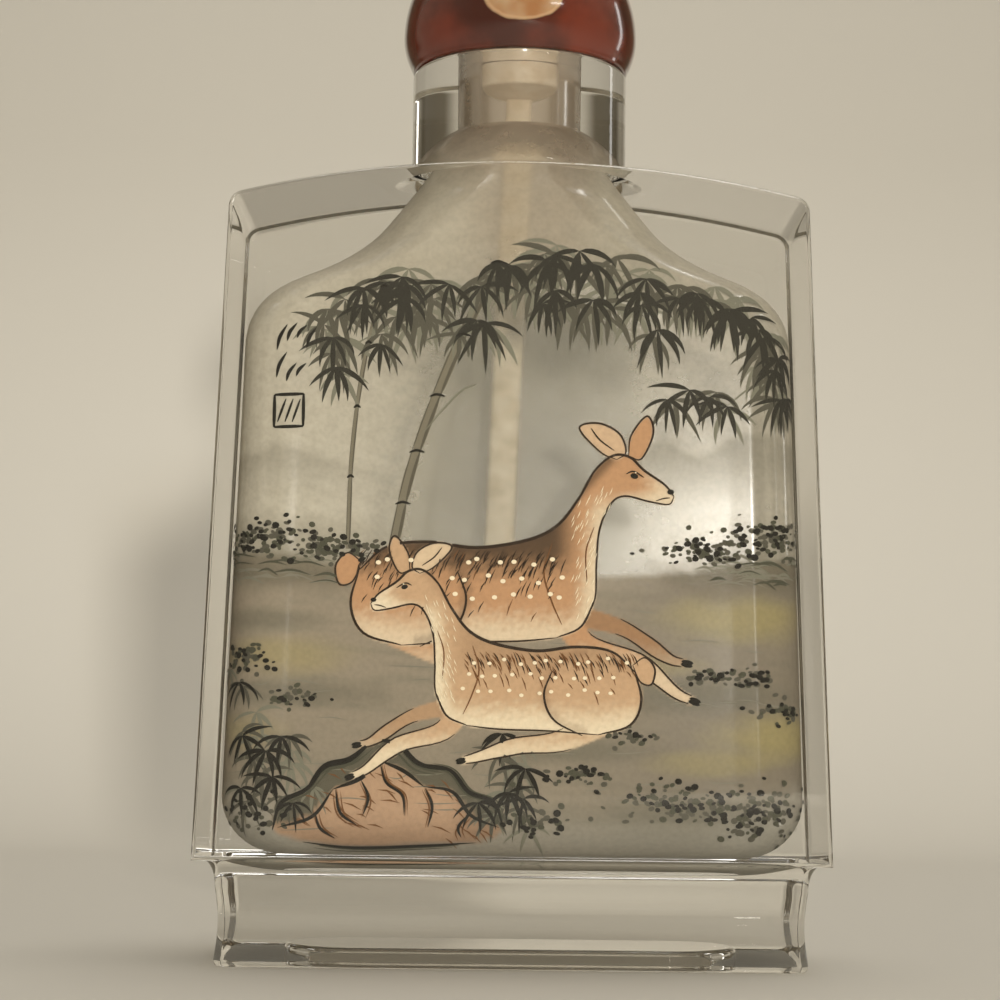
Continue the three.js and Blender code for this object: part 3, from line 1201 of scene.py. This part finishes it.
    def _line(self, brush: Brush, points: Line, width: float,
              pigment: Pigment = Pigment.COAT_DARK) -> None:
        """Draws a smooth line of the figure."""
        brush.line(pigment, self.at(points), width * (0.6 + 0.4 * self.scale))

    def _dot(self, brush: Brush, pigment: Pigment, place: Sequence[float], wide: float, high: float,
             turn: float = 0.0) -> None:
        """Sets down a dot of the figure."""
        brush.dot(pigment, *self.at([place])[0], wide * self.scale, high * self.scale, turn)

    def _draw_contours(self, brush: Brush) -> None:
        """Draws the outlines of the body, ears and tail."""
        body = self.body
        for first, last, width in ((0, 9, 0.15), (8, 15, 0.2), (13, 21, 0.26), (20, 24, 0.2),
                                   (23, 27, 0.14)):
            self._line(brush, body[first:last], width)
        self._line(brush, [body[-1], body[0], body[1]], 0.15)
        for outline in (self.ear, self.far_ear, self.tail):
            self._line(brush, [*outline, outline[0]], 0.15)
        self._line(brush, [(8.7, 10.8), (7.6, 11.6), (6.9, 12.5)], 0.12)

    def _draw_legs(self, brush: Brush) -> None:
        """Draws the legs' two sides and the hooves."""
        scale = self.scale
        for path, radii in self._limbs():
            side = across(path)
            for sign in (1, -1):
                brush.stroke(Pigment.COAT_DARK, (path + sign * side * radii[:, None])[5:], 0.13, 0.3)
            ahead = path[-1] - path[-4]
            ahead /= np.linalg.norm(ahead)
            for shift in (0.0, 0.22):
                toe = path[-1] + ahead * 0.35 * scale + side[-1] * (shift - 0.1) * scale
                turn = math.atan2(ahead[1], ahead[0])
                brush.dot(Pigment.INK, *toe, 0.95 * scale, 0.36 * scale, turn)

    def _draw_face(self, brush: Brush) -> None:
        """Draws the folds of the shoulder and haunch, then the eye, mouth and nose."""
        self._line(brush, [(4.0, 3.6), (3.4, 1.4), (4.0, -0.8), (4.8, -2.6)], 0.12, Pigment.COAT_SHADE)
        self._line(brush, [(-3.2, 1.4), (-2.5, -0.8), (-3.4, -3.0), (-6.0, -4.4)], 0.17)
        self._line(brush, [(7.2, 4.9), (6.6, 3.0), (6.7, 0.6)], 0.1, Pigment.COAT_SHADE)
        self._dot(brush, Pigment.INK, (10.25, 8.85), 0.62, 0.44, -0.3 * self.facing)
        self._line(brush, [(9.6, 9.0), (10.2, 9.2), (11.0, 8.75)], 0.13)
        self._line(brush, [(11.9, 6.95), (12.5, 7.15), (13.0, 7.2)], 0.1)
        self._dot(brush, Pigment.INK, (13.05, 7.65), 0.55, 0.42)
        glint = self.at([(10.35, 8.95)])[0] + (0, 0.16 * self.scale)
        brush.dot(Pigment.COAT_LIGHT, *glint, 0.14, 0.1)

    def _draw_coat(self, brush: Brush) -> None:
        """Draws the hair of the back, the pale spots and the chest's light hair."""
        rng = brush.rng
        for x in np.arange(-10.4, 4.6, 0.34):
            for _ in range(int(2 + 3 * self.dark_back)):
                y = 3.1 - rng.exponential(0.9) * (0.5 + self.dark_back)
                if y > -3:
                    start = (x + rng.normal(0, 0.2), y)
                    end = (start[0] - 0.45, y - rng.uniform(0.5, 1.3))
                    middle = ((start[0] + end[0]) / 2 - 0.06, (y + end[1]) / 2)
                    pigment = Pigment.COAT_DARK if rng.random() < self.dark_back else Pigment.COAT_SHADE
                    brush.stroke(pigment, self.at([start, middle, end]), 0.1)
        for x in np.arange(-9.6, 5.0, 1.35):
            for row in range(3):
                spot = (x + rng.normal(0, 0.2) + 0.5 * row, 2.2 - 1.35 * row + rng.normal(0, 0.16))
                self._dot(brush, Pigment.COAT_LIGHT, spot, 0.42, 0.34)
        for _ in range(90):
            x, y = rng.uniform(5.6, 8.6), rng.uniform(-2.2, 8.2)
            if inside(np.array(self.body), np.array(x), np.array(y)):
                hair = [(x, y), (x - 0.1, y - 0.3), (x - 0.25, y - 0.6)]
                brush.stroke(Pigment.COAT_LIGHT, self.at(hair), 0.07)

    def draw(self, brush: Brush) -> None:
        """Draws the contours, legs, face and coat.

        Args:
            brush: The brush.
        """
        self._draw_contours(brush)
        self._draw_legs(brush)
        self._draw_face(brush)
        self._draw_coat(brush)


@dataclass
class Rock(Figure):
    """A broad faceted rock, washed ochre, with inked edges."""

    outline: tuple = (
        (-9.4, -2.6), (-8.7, -0.5), (-6.7, 0.6), (-5.3, 2.4), (-3.3, 3.0), (-1.4, 4.6), (0.5, 4.2),
        (2.2, 2.7), (4.7, 2.2), (6.2, 0.5), (8.2, -0.3), (9.0, -2.3), (6.8, -3.4), (2.4, -3.7),
        (-3.0, -3.9), (-7.0, -3.5),
    )
    ledge: tuple = (
        (-9.0, -2.4), (-6.2, -1.5), (-4.6, 0.6), (-2.4, 1.5), (-0.9, 2.9), (1.0, 2.1), (2.6, 0.9),
        (4.9, 0.5), (6.4, -1.3), (8.6, -2.2),
    )
    light: Rgb = linear((172, 142, 114))
    shade: Rgb = linear((124, 98, 76))
    mossy: Rgb = linear((92, 88, 74))
    lichen: Rgb = linear((128, 120, 102))
    cracks: tuple = (
        ((-6.0, -1.2), (-5.6, -2.4), (-4.4, -3.2)), ((-4.4, 0.6), (-4.0, -1.2), (-2.6, -2.2)),
        ((-0.9, 2.8), (-0.4, 1.2), (0.9, 0.2), (1.1, -1.4)), ((2.7, 0.8), (3.3, -0.6), (3.0, -2.2)),
        ((6.2, -1.2), (5.4, -2.2), (5.6, -3.0)), ((-2.4, 1.4), (-1.8, 0.0), (-2.2, -1.4)),
    )

    def wash(self, wall: WallWash) -> None:
        """Colours its faces."""
        mask = wall.within(self.ring(self.outline), 0.2)
        x, y = self.own(wall)
        rough = 0.5 * wall.ripple(1.6, 11) + 0.3 * wall.ripple(0.6, 12)
        wall.lay(mask, self.light, 0.96)
        wall.lay(mask * smooth(-0.6, -4.0, y + 0.5 * rough) * 0.4, self.shade)
        wall.lay(mask * smooth(4.2, 6.4, x + 0.6 * rough) * 0.45, self.shade)
        edge_x, edge_y = np.array(self.ledge).T
        over = y - np.interp(x, edge_x, edge_y) + 0.22 * rough
        top = mask * smooth(-0.1, 0.25, over)
        wall.lay(top, self.mossy)
        wall.lay(top * smooth(0.4, 1.0, rough) * 0.6, self.lichen)

    def draw(self, brush: Brush) -> None:
        """Draws its edges and cracks."""
        for first, last, width in ((0, 4, 0.34), (2, 6, 0.46), (5, 9, 0.4), (7, 12, 0.34),
                                   (12, 16, 0.22)):
            path = curve(self.at(self.outline[first:last]))
            brush.stroke(Pigment.INK, path, width, 0.6)
            for _ in range(4):
                shift = brush.rng.normal(0, 0.16, 2) - (0, 0.22)
                brush.stroke(Pigment.MOSS, path[2:-2] + shift, width * 0.4, 0.5)
        for first, last, width in ((0, 3, 0.26), (2, 5, 0.34), (4, 7, 0.3), (6, 10, 0.28)):
            brush.stroke(Pigment.INK, curve(self.at(self.ledge[first:last])), width, 0.7)
        for crack in self.cracks:
            brush.line(Pigment.INK, self.at(crack), 0.22, 0.8)
            for _ in range(3):
                shift = brush.rng.normal(0, 0.22, 2)
                brush.line(Pigment.COAT_SHADE, self.at(crack) + shift, 0.12, 0.9)
        for _ in range(44):
            x, y = brush.rng.uniform(-8, 8), brush.rng.uniform(-3.2, 2.6)
            if inside(np.array(self.outline), np.array(x), np.array(y)):
                tip = (x + brush.rng.uniform(0.6, 1.6), y - brush.rng.uniform(0.2, 0.9))
                middle = ((x + tip[0]) / 2, (y + tip[1]) / 2 + 0.1)
                brush.stroke(Pigment.COAT_SHADE, self.at([(x, y), middle, tip]), 0.13)


class Picture:
    """The landscape on the wall: leaf sprays over a bank with two lying deer and a rock."""

    def __init__(self, hollow: Hollow) -> None:
        """Places the figures.

        Args:
            hollow: The inner wall.
        """
        self.hollow = hollow
        self.doe = Deer(-1.2, 28.6, 1.0, 1, coat=linear((176, 136, 100)), back=linear((62, 51, 40)),
                        belly=linear((210, 193, 164)), dark_back=0.9)
        self.fawn = Deer(0.2, 21.3, 0.84, -1, coat=linear((184, 152, 118)), back=linear((124, 94, 68)),
                         belly=linear((222, 208, 178)), dark_back=0.35)
        self.rock = Rock(-9.2, 12.8, 0.95, 1)
        self.back_rock = Rock(7.5, 13.4, 1.05, 1)

    def _ground(self, wall: WallWash) -> None:
        """Hills, bank and meadow."""
        hill = wall.below([(3, 36.2), (7, 37.6), (11, 40.2), (14, 39.2), (18, 41.0), (23, 40.2),
                           (30, 41)], 1.0)
        wall.lay(hill * smooth(34.5, 39.5, wall.z) * 0.55, Tone.HILL, 0.7)
        low = wall.below([(-30, 38), (-22, 38.6), (-18, 39.6), (-14, 38.4), (-9, 37.2), (-5, 36)], 1.0)
        low = low * smooth(35.2, 38.8, wall.z) * smooth(-5, -9, wall.u)
        wall.lay(low * 0.4, Tone.LOW_HILL, 0.65)
        meadow = wall.below([(-30, 30.4), (-20, 31.2), (-12, 30.2), (0, 29.6), (12, 30.0), (20, 31.0),
                             (30, 31)], 0.8)
        wall.lay(meadow, Tone.MEADOW, 0.9)
        streak = wall.ripple(1.5, 21, 6.0)
        wall.lay(meadow * smooth(-0.1, 1.0, streak) * 0.3, Tone.STREAK)
        wall.lay(meadow * smooth(27, 10, wall.z) * 0.2, Tone.NEAR_MEADOW)
        wall.lay(meadow * smooth(2, 14, wall.u) * 0.6, Tone.RIGHT_MEADOW)
        for u, z, wide, high, share in ((17.5, 26.6, 5.2, 1.5, 0.7), (20.5, 17.6, 4.5, 1.5, 0.75),
                                        (15.0, 15.6, 4.0, 0.9, 0.5), (-17.5, 23.5, 4.2, 1.2, 0.55),
                                        (-20.5, 17.6, 2.6, 1.2, 0.4), (10.5, 23.0, 3.2, 0.7, 0.4)):
            wall.lay(wall.oval(u, z, wide, high, 0.7) * share * 0.8, Tone.OCHRE)
        for u, z, wide, high in ((14, 20.6, 6.5, 1.1), (-15.5, 20.6, 5.5, 0.9), (13, 11.2, 8.5, 1.6),
                                 (-19, 26.2, 3.6, 0.7), (4, 16.4, 6.0, 0.9)):
            wall.lay(wall.oval(u, z, wide, high, 0.7) * 0.5, Tone.DIP)
        for u, wide in ((-17.5, 7.0), (18.5, 6.0)):
            wall.lay(wall.oval(u, 30.0, wide, 1.5, 0.6) * 0.6, Tone.BUSH, 0.9)
            wall.lay(wall.oval(u, 32.6, wide * 0.9, 1.5, 0.8) * 0.4, Tone.BUSH_TOP, 0.8)
        wall.lay(smooth(12.2, 9.4, wall.z) * 0.6, Tone.BOTTOM, 0.7)
        for side in (-1, 1):
            wall.lay(wall.oval(20.6 * side, 9.8, 4.4, 3.0, 0.7) * 0.6, Tone.CORNER, 0.66)

    def wash_front(self, wall: WallWash) -> None:
        """Washes the front."""
        wall.mist()
        self._ground(wall)
        for figure in (self.rock, self.doe, self.fawn):
            figure.wash(wall)

    def wash_back(self, wall: WallWash) -> None:
        """Washes the plainer back, which is nearly closed."""
        wall.mist()
        wall.cover = np.maximum(wall.cover, 0.9 * smooth(62, 57, wall.z))
        self._ground(wall)
        self.back_rock.wash(wall)

    def _boughs(self, brush: Brush) -> None:
        """Leaf sprays over the top, and a hanging one at the right."""
        for points, nodes, size, reach, middle in (
                ([(-15.2, 48.8), (-12.0, 50.9), (-8.4, 51.9), (-4.0, 52.0)], 12, 3.3, 0.9, -96),
                ([(-14.2, 46.4), (-10.6, 48.4), (-6.6, 49.4), (-2.8, 49.2)], 9, 3.2, 0.8, -84),
                ([(-1.6, 53.6), (3, 54.2), (8, 53.4), (12.6, 51.6)], 13, 3.4, 0.8, -88),
                ([(0.6, 51.2), (5, 51.4), (10.6, 49.4)], 9, 3.3, 0.8, -82),
                ([(12.6, 51.8), (16.4, 50.4), (19.2, 47.6), (20.8, 43.0)], 14, 3.1, 0.7, -84)):
            brush.bough(points, nodes, size, reach, middle)

    def _moss(self, brush: Brush) -> None:
        """Bushes on the bank and dots over the meadow."""
        patches = ((-19, 32.4, 4.4, 1.5, 130), (-13.4, 31.6, 4.0, 1.1, 90), (14.6, 31.8, 4.2, 1.2, 90),
                   (19.4, 32.8, 4.0, 1.7, 130), (-20.4, 23.2, 2.8, 1.3, 60), (-16.5, 20.2, 3.0, 0.8, 34),
                   (16.5, 22.2, 4.4, 0.8, 60), (20.6, 19.6, 2.6, 1.0, 44), (12.6, 12.6, 5.4, 1.6, 120),
                   (18.6, 12.0, 4.6, 2.2, 130), (5.0, 14.6, 3.2, 1.0, 46), (2.0, 11.0, 3.6, 1.0, 50),
                   (8.6, 17.6, 2.8, 0.6, 30), (-19.6, 11.6, 2.8, 1.6, 60))
        for u, z, wide, high, count in patches:
            brush.moss((u, z), (wide, high), count)

    def _bank(self, brush: Brush) -> None:
        """Short dry strokes along the bank's edge."""
        for side, low, high in ((-1, 10.0, 24.0), (1, 13.5, 24.0)):
            for _ in range(46):
                u, z = side * brush.rng.uniform(low, high), brush.rng.uniform(28.9, 31.2)
                reach, fall = brush.rng.uniform(1.2, 3.4), brush.rng.uniform(-0.5, 0.1)
                pigment = (Pigment.GREY_WASH, Pigment.PALE_LEAF, Pigment.MOSS)[brush.rng.integers(3)]
                brush.line(pigment, [(u, z), (u + reach / 2, z + 0.22), (u + reach, z + fall)],
                           brush.rng.uniform(0.1, 0.24), 0.8)
        for _ in range(60):
            u, z = brush.rng.uniform(-22, 22), brush.rng.uniform(10, 27.5)
            reach = brush.rng.uniform(1.5, 4.5)
            brush.line(Pigment.GREY_WASH, [(u, z), (u + reach / 2, z + brush.rng.normal(0, 0.1)),
                                           (u + reach, z + brush.rng.normal(0, 0.2))], 0.09, 0.9)

    def _tufts(self, brush: Brush) -> None:
        """Leaves round the rock and at the lower edges."""
        for u, z, size, count in ((-1.2, 16.6, 2.6, 5), (0.4, 15.2, 2.8, 5), (-0.4, 13.4, 2.6, 6),
                                  (-2.4, 12.0, 2.4, 5), (1.4, 12.2, 2.4, 4), (-17.6, 17.4, 2.6, 5),
                                  (-19.4, 16.2, 2.8, 6), (-20.8, 18.4, 2.6, 5), (-18.2, 14.2, 2.7, 6),
                                  (-20.4, 13.2, 2.6, 5), (-16.4, 12.2, 2.2, 5), (-21.4, 21.0, 2.4, 4)):
            for pigment, share in ((Pigment.PALE_LEAF, 0.8), (Pigment.LEAF, 0.5), (Pigment.INK, 0.4)):
                root = np.array([u, z]) + brush.rng.normal(0, 1, 2) * share
                brush.spray(root, size, pigment, count, -90 + brush.rng.normal(0, 16), 190)

    def _marks(self, brush: Brush) -> None:
        """Rows of plain slanting dabs, and a hatched square, where a caption would stand."""
        for z, dabs in ((48.2, 4), (45.4, 3)):
            for k in range(dabs):
                u, rise = -18.5 + 0.75 * k, 0.35 * math.sin(2.4 * k + z)
                reach = 0.75 + 0.25 * math.cos(1.7 * k)
                dab = [(u, z + rise - reach), (u + 0.2, z + rise), (u + 0.75, z + rise + reach)]
                brush.line(Pigment.INK, dab, 0.27, 0.7)
        square = [(-18.6, 43.4), (-16.4, 43.5), (-16.4, 41.0), (-18.6, 40.9), (-18.6, 43.4)]
        for a, b in zip(square, square[1:]):
            brush.stroke(Pigment.INK, np.linspace(a, b, 5), 0.26, 0.15)
        for k in range(3):
            u = -18.35 + 0.55 * k
            brush.stroke(Pigment.INK, np.linspace((u, 41.3), (u + 0.6, 43.1), 5), 0.18, 0.3)

    def draw_front(self, brush: Brush) -> None:
        """Draws the front, from the far things to the near ones."""
        brush.culm([(-9.4, 31.4), (-8.0, 38), (-5.4, 45.5), (-1.6, 54)], 0.82, 5)
        brush.culm([(-12.8, 31.6), (-12.6, 39), (-11.8, 46), (-10.4, 52)], 0.36, 4)
        brush.line(Pigment.PALE_LEAF, [(-7.2, 40.6), (-4.6, 43.6), (-3.2, 44.4)], 0.16)
        self._boughs(brush)
        brush.bough([(12.0, 43.6), (14.2, 44.0), (16.2, 43.0)], 4, 3.2, 0.5, -96)
        brush.line(Pigment.PALE_LEAF, [(16.2, 43), (18.2, 44.6), (20.0, 45.4)], 0.14)
        self._bank(brush)
        self._moss(brush)
        self._marks(brush)
        self._tufts(brush)
        self.rock.draw(brush)
        for deer in (self.doe, self.fawn):
            brush.hide(deer.veil())
            deer.draw(brush)

    def draw_back(self, brush: Brush) -> None:
        """Draws the back: boughs, bank, moss, a rock and two far birds."""
        brush.culm([(7.4, 31.4), (6.4, 40), (4.2, 47), (1.6, 54)], 0.6, 5)
        self._boughs(brush)
        self._bank(brush)
        self._moss(brush)
        self.back_rock.draw(brush)
        for bird in ((-6.0, 43.0), (-9.4, 40.6)):
            for angle, bend in ((150, 40), (30, -40)):
                brush.leaf(Pigment.INK, bird, angle, 1.8, 0.3, bend)

    def build(self) -> list[bpy.types.Object]:
        """Makes the wash and the brushwork of both faces.

        Returns:
            The pieces.
        """
        made = []
        for facing, wash, columns, rows in ((1, self.wash_front, 271, 190), (-1, self.wash_back, 136, 90)):
            wall = WallWash(self.hollow, facing, columns, rows)
            wash(wall)
            made.append(wall.build())
        for facing, draw, seed in ((1, self.draw_front, 7), (-1, self.draw_back, 8)):
            brush = Brush(self.hollow, facing, seed)
            draw(brush)
            made += brush.pieces()
        for piece in made:
            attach(piece, "root")
        return made


# --------------------------------------------------------------------------- stopper and spoon


@dataclass
class Stopper:
    """The stone cap: a short flank that swells, then a half ball."""

    base: float
    top: float
    radius: float
    base_radius: float = 8.75
    widest: float = 3.0
    edge: float = 0.3

    @classmethod
    def from_frame(cls) -> "Stopper":
        """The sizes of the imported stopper."""
        low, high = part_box("stopper")
        return cls(base=low[2] / MM, top=high[2] / MM, radius=(high[0] - low[0]) / 2 / MM)

    def build(self) -> bpy.types.Object:
        """Makes the cap."""
        profile = [(0.01, self.base), (self.base_radius - self.edge - 0.3, self.base)]
        profile += arc((self.base_radius - self.edge, self.base + self.edge), self.edge, -90, 0, 6)
        for share in np.linspace(0, 1, 13)[1:]:
            r = self.radius + (self.base_radius - self.radius) * (1 - share) ** 2
            profile.append((r, self.base + self.edge + (self.widest - self.edge) * share))
        belt = self.base + self.widest
        for turn in np.radians(np.linspace(0, 89.9, 40))[1:]:
            profile.append((self.radius * math.cos(turn), belt + (self.top - belt) * math.sin(turn)))
        cap = add_piece("cap", *turned(profile, 128), [Carnelian().material()], sharp=40)
        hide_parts("stopper")
        return cap


def build_collar() -> bpy.types.Object:
    """Makes the pale collar in the bore."""
    low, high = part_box("plug")
    r, bottom, top = (high[0] - low[0]) / 2 / MM, low[2] / MM, high[2] / MM
    edge, groove = 0.25, 0.05
    profile = [(0.01, bottom), (r - 0.4, bottom), *arc((r - edge, bottom + edge), edge, -90, 0, 5)]
    for share in np.linspace(0, 1, 7)[1:-1]:
        z = bottom + 0.3 + (top - bottom - 0.4) * share
        profile.append((r - groove * abs(math.sin(3 * math.pi * share)), z))
    profile += [(r, top - groove), (r - groove, top), (0.01, top)]
    finish = PaleMatt("collar", linear((244, 232, 208)), linear((226, 208, 178)), 900.0, 0.6)
    collar = add_piece("collar", *turned(profile, 72), [finish.material()], sharp=40)
    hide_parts("plug")
    return collar


@dataclass
class Spoon:
    """A slender spoon that hangs and leans a little."""

    top: float
    bottom: float
    back: float = 2.1
    lean: float = 1.8
    handle_width: float = 2.4
    handle_thick: float = 0.8
    bowl_width: float = 4.4
    bowl_length: float = 8.0
    dish: float = 0.7
    corner: float = 0.36
    least_half: float = 0.2

    @classmethod
    def from_frame(cls) -> "Spoon":
        """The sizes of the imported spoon."""
        low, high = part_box("spoon")
        return cls(top=high[2] / MM, bottom=low[2] / MM)

    def build(self) -> bpy.types.Object:
        """Makes the spoon from level sections, up from its tip."""
        rings = []
        heights = np.concatenate([np.linspace(self.bottom, self.bottom + self.bowl_length, 33),
                                  np.linspace(self.bottom + self.bowl_length, self.top, 40)[1:]])
        for z in heights:
            down = (self.top - z) / (self.top - self.bottom)
            bowl = min((z - self.bottom) / self.bowl_length, 1.0)
            swell = math.sin(math.pi * bowl**0.8)
            oval = math.sqrt(max(1 - (2 * bowl - 1) ** 2, 0.0)) * self.bowl_width
            wide = max(oval, self.handle_width * float(smooth(0.5, 1.0, np.array(bowl))))
            half = max(wide / 2, self.least_half)
            ring = rounded_ring(half, self.handle_thick / 2, self.corner, z, 5)
            hollowed = np.clip(1 - (2 * ring[:, 0] / self.bowl_width) ** 2, 0, 1)
            ring[:, 1] += self.back + self.dish * swell * hollowed
            ring[:, 0] -= self.lean * down
            rings.append(ring)
        finish = PaleMatt("bone", linear((226, 212, 184)), linear((198, 178, 144)), 500.0, 0.45)
        spoon = add_piece("spoon_form", *loft(rings), [finish.material()], sharp=50)
        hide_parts("spoon")
        return spoon


# --------------------------------------------------------------------------- studio


@dataclass(frozen=True)
class Lamp:
    """A soft lamp that faces the bottle: its place and size in metres, power in watts.

    Glossy surfaces show it where it is mirrored, and its beam spreads so many degrees.
    """

    name: str
    place: Rgb
    size: tuple[float, float]
    power: float
    colour: Rgb
    mirrored: bool = True
    spread: float = 180.0

    def build(self, target: Rgb) -> None:
        """Hangs the lamp.

        Args:
            target: Where it points.
        """
        lamp = bpy.data.lights.new(self.name, "AREA")
        lamp.shape = "RECTANGLE"
        lamp.size, lamp.size_y = self.size
        lamp.energy, lamp.color = self.power, self.colour
        lamp.spread = math.radians(self.spread)
        made = bpy.data.objects.new(self.name, lamp)
        made.location = self.place
        made.visible_glossy = self.mirrored
        made.rotation_euler = (Vector(target) - Vector(self.place)).to_track_quat("-Z", "Y").to_euler()
        bpy.context.scene.collection.objects.link(made)


@dataclass
class Studio:
    """A pale floor that sweeps up into walls all round, soft lamps and the camera, in metres.

    Behind and to both sides, out of the picture, the walls carry painted shade, standing in for
    shadowed surroundings: they draw the edges of the clear glass.
    """

    tone: Rgb = linear((200, 194, 181))
    # The colour of the painted shade on the side and back walls.
    wall_shade_tone: Rgb = linear((104, 96, 80))
    front: float = -0.95
    back: float = 0.29
    half_width: float = 0.62
    corner: float = 0.30
    sweep: float = 0.14
    height: float = 0.75
    target: Rgb = (0, 0, 0.04)
    sky_tone: Rgb = (0.97, 0.96, 0.93)
    sky_strength: float = 0.22
    tilt: float = 5.83
    turn: float = -0.14
    roll: float = 0.69
    lens: float = 82.8
    eye_mm: Rgb = (-1.65, -184.2, 17.6)
    lamps: tuple[Lamp, ...] = (
        Lamp("key", (0.10, -0.62, 0.045), (0.035, 0.035), 0.48, (1.0, 0.98, 0.94), False, 60),
        Lamp("top", (0.08, 0.06, 0.80), (0.50, 0.40), 3.3, (1.0, 0.99, 0.97)),
        Lamp("streak", (0.27, -0.38, 0.262), (0.10, 0.007), 0.05, (1.0, 0.98, 0.95)),
        Lamp("rim", (0.34, 0.16, 0.14), (0.03, 0.24), 0.07, (1.0, 0.99, 0.97)),
    )

    def build_stage(self) -> bpy.types.Object:
        """The floor and its walls."""
        graph = Graph("studio_floor")
        x, y, z = graph.axes()
        # Painted shade: the walls go darker to both sides and behind, where the glass edges see them.
        aside = (x * x) ** 0.5
        wall_shade = aside.rise(0.12, 0.19) * (1.0 - aside.rise(0.38, 0.48))
        wall_shade = wall_shade * y.rise(0.12, 0.22) * z.rise(0.0, 0.06)
        tone = graph.blend(wall_shade, self.tone, self.wall_shade_tone)
        surface = graph.principled(Base_Color=tone, Roughness=0.85, Specular_IOR_Level=0.1)
        material = graph.finish(surface)
        middle, half_depth = (self.front + self.back) / 2, (self.back - self.front) / 2
        rings = []
        for out, z in [*arc((-self.sweep, self.sweep), self.sweep, -90, 0, 24), (0.0, self.height)]:
            ring = rounded_ring(self.half_width + out, half_depth + out, self.corner + out, z, 24)
            rings.append(ring + (0, middle, 0))
        points, faces = loft(rings)
        floor = add_piece("studio_floor", points / MM, [face[::-1] for face in faces[:-1]], [material])
        return floor

    def build_sky(self) -> None:
        """Even light from above."""
        world = bpy.data.worlds.new("studio")
        world.use_nodes = True
        sky = world.node_tree.nodes["Background"]
        sky.inputs["Color"].default_value = (*self.sky_tone, 1.0)
        sky.inputs["Strength"].default_value = self.sky_strength
        bpy.context.scene.world = world

    def build_camera(self) -> None:
        """The camera, low before the front and tilted a little up."""
        camera = bpy.data.cameras.new("camera")
        camera.lens, camera.sensor_width = self.lens, 36.0
        camera.clip_start = 0.01
        made = bpy.data.objects.new("camera", camera)
        made.location = Vector(self.eye_mm) * MM
        made.rotation_mode = "XYZ"
        upright = Euler((math.radians(90 + self.tilt), 0, math.radians(self.turn)), "XYZ").to_matrix()
        roll = Euler((0, 0, math.radians(self.roll)), "XYZ").to_matrix()
        made.rotation_euler = (upright @ roll).to_euler()
        bpy.context.scene.collection.objects.link(made)
        bpy.context.scene.camera = made

    def build(self) -> None:
        """Sets up the stage, the sky, the lamps and the camera."""
        self.build_stage()
        self.build_sky()
        for lamp in self.lamps:
            lamp.build(self.target)
        self.build_camera()


def main() -> None:
    """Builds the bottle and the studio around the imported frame."""
    logging.basicConfig(level=logging.INFO, format="%(message)s")
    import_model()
    bpy.context.scene.view_settings.view_transform = "Standard"
    form = GlassForm.from_frame()
    hollow = Hollow(form)
    glass = Bottle(form, hollow).build()
    for piece in (glass, Stopper.from_frame().build(), build_collar(), Spoon.from_frame().build()):
        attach(piece, "root")
    painting = Picture(hollow).build()
    log.info("glass: %d faces, painting: %d pieces", len(glass.data.polygons), len(painting))
    for name, count in BOUNCES.items():
        setattr(bpy.context.scene.cycles, name, count)
    Studio().build()


if __name__ == "__main__":
    main()
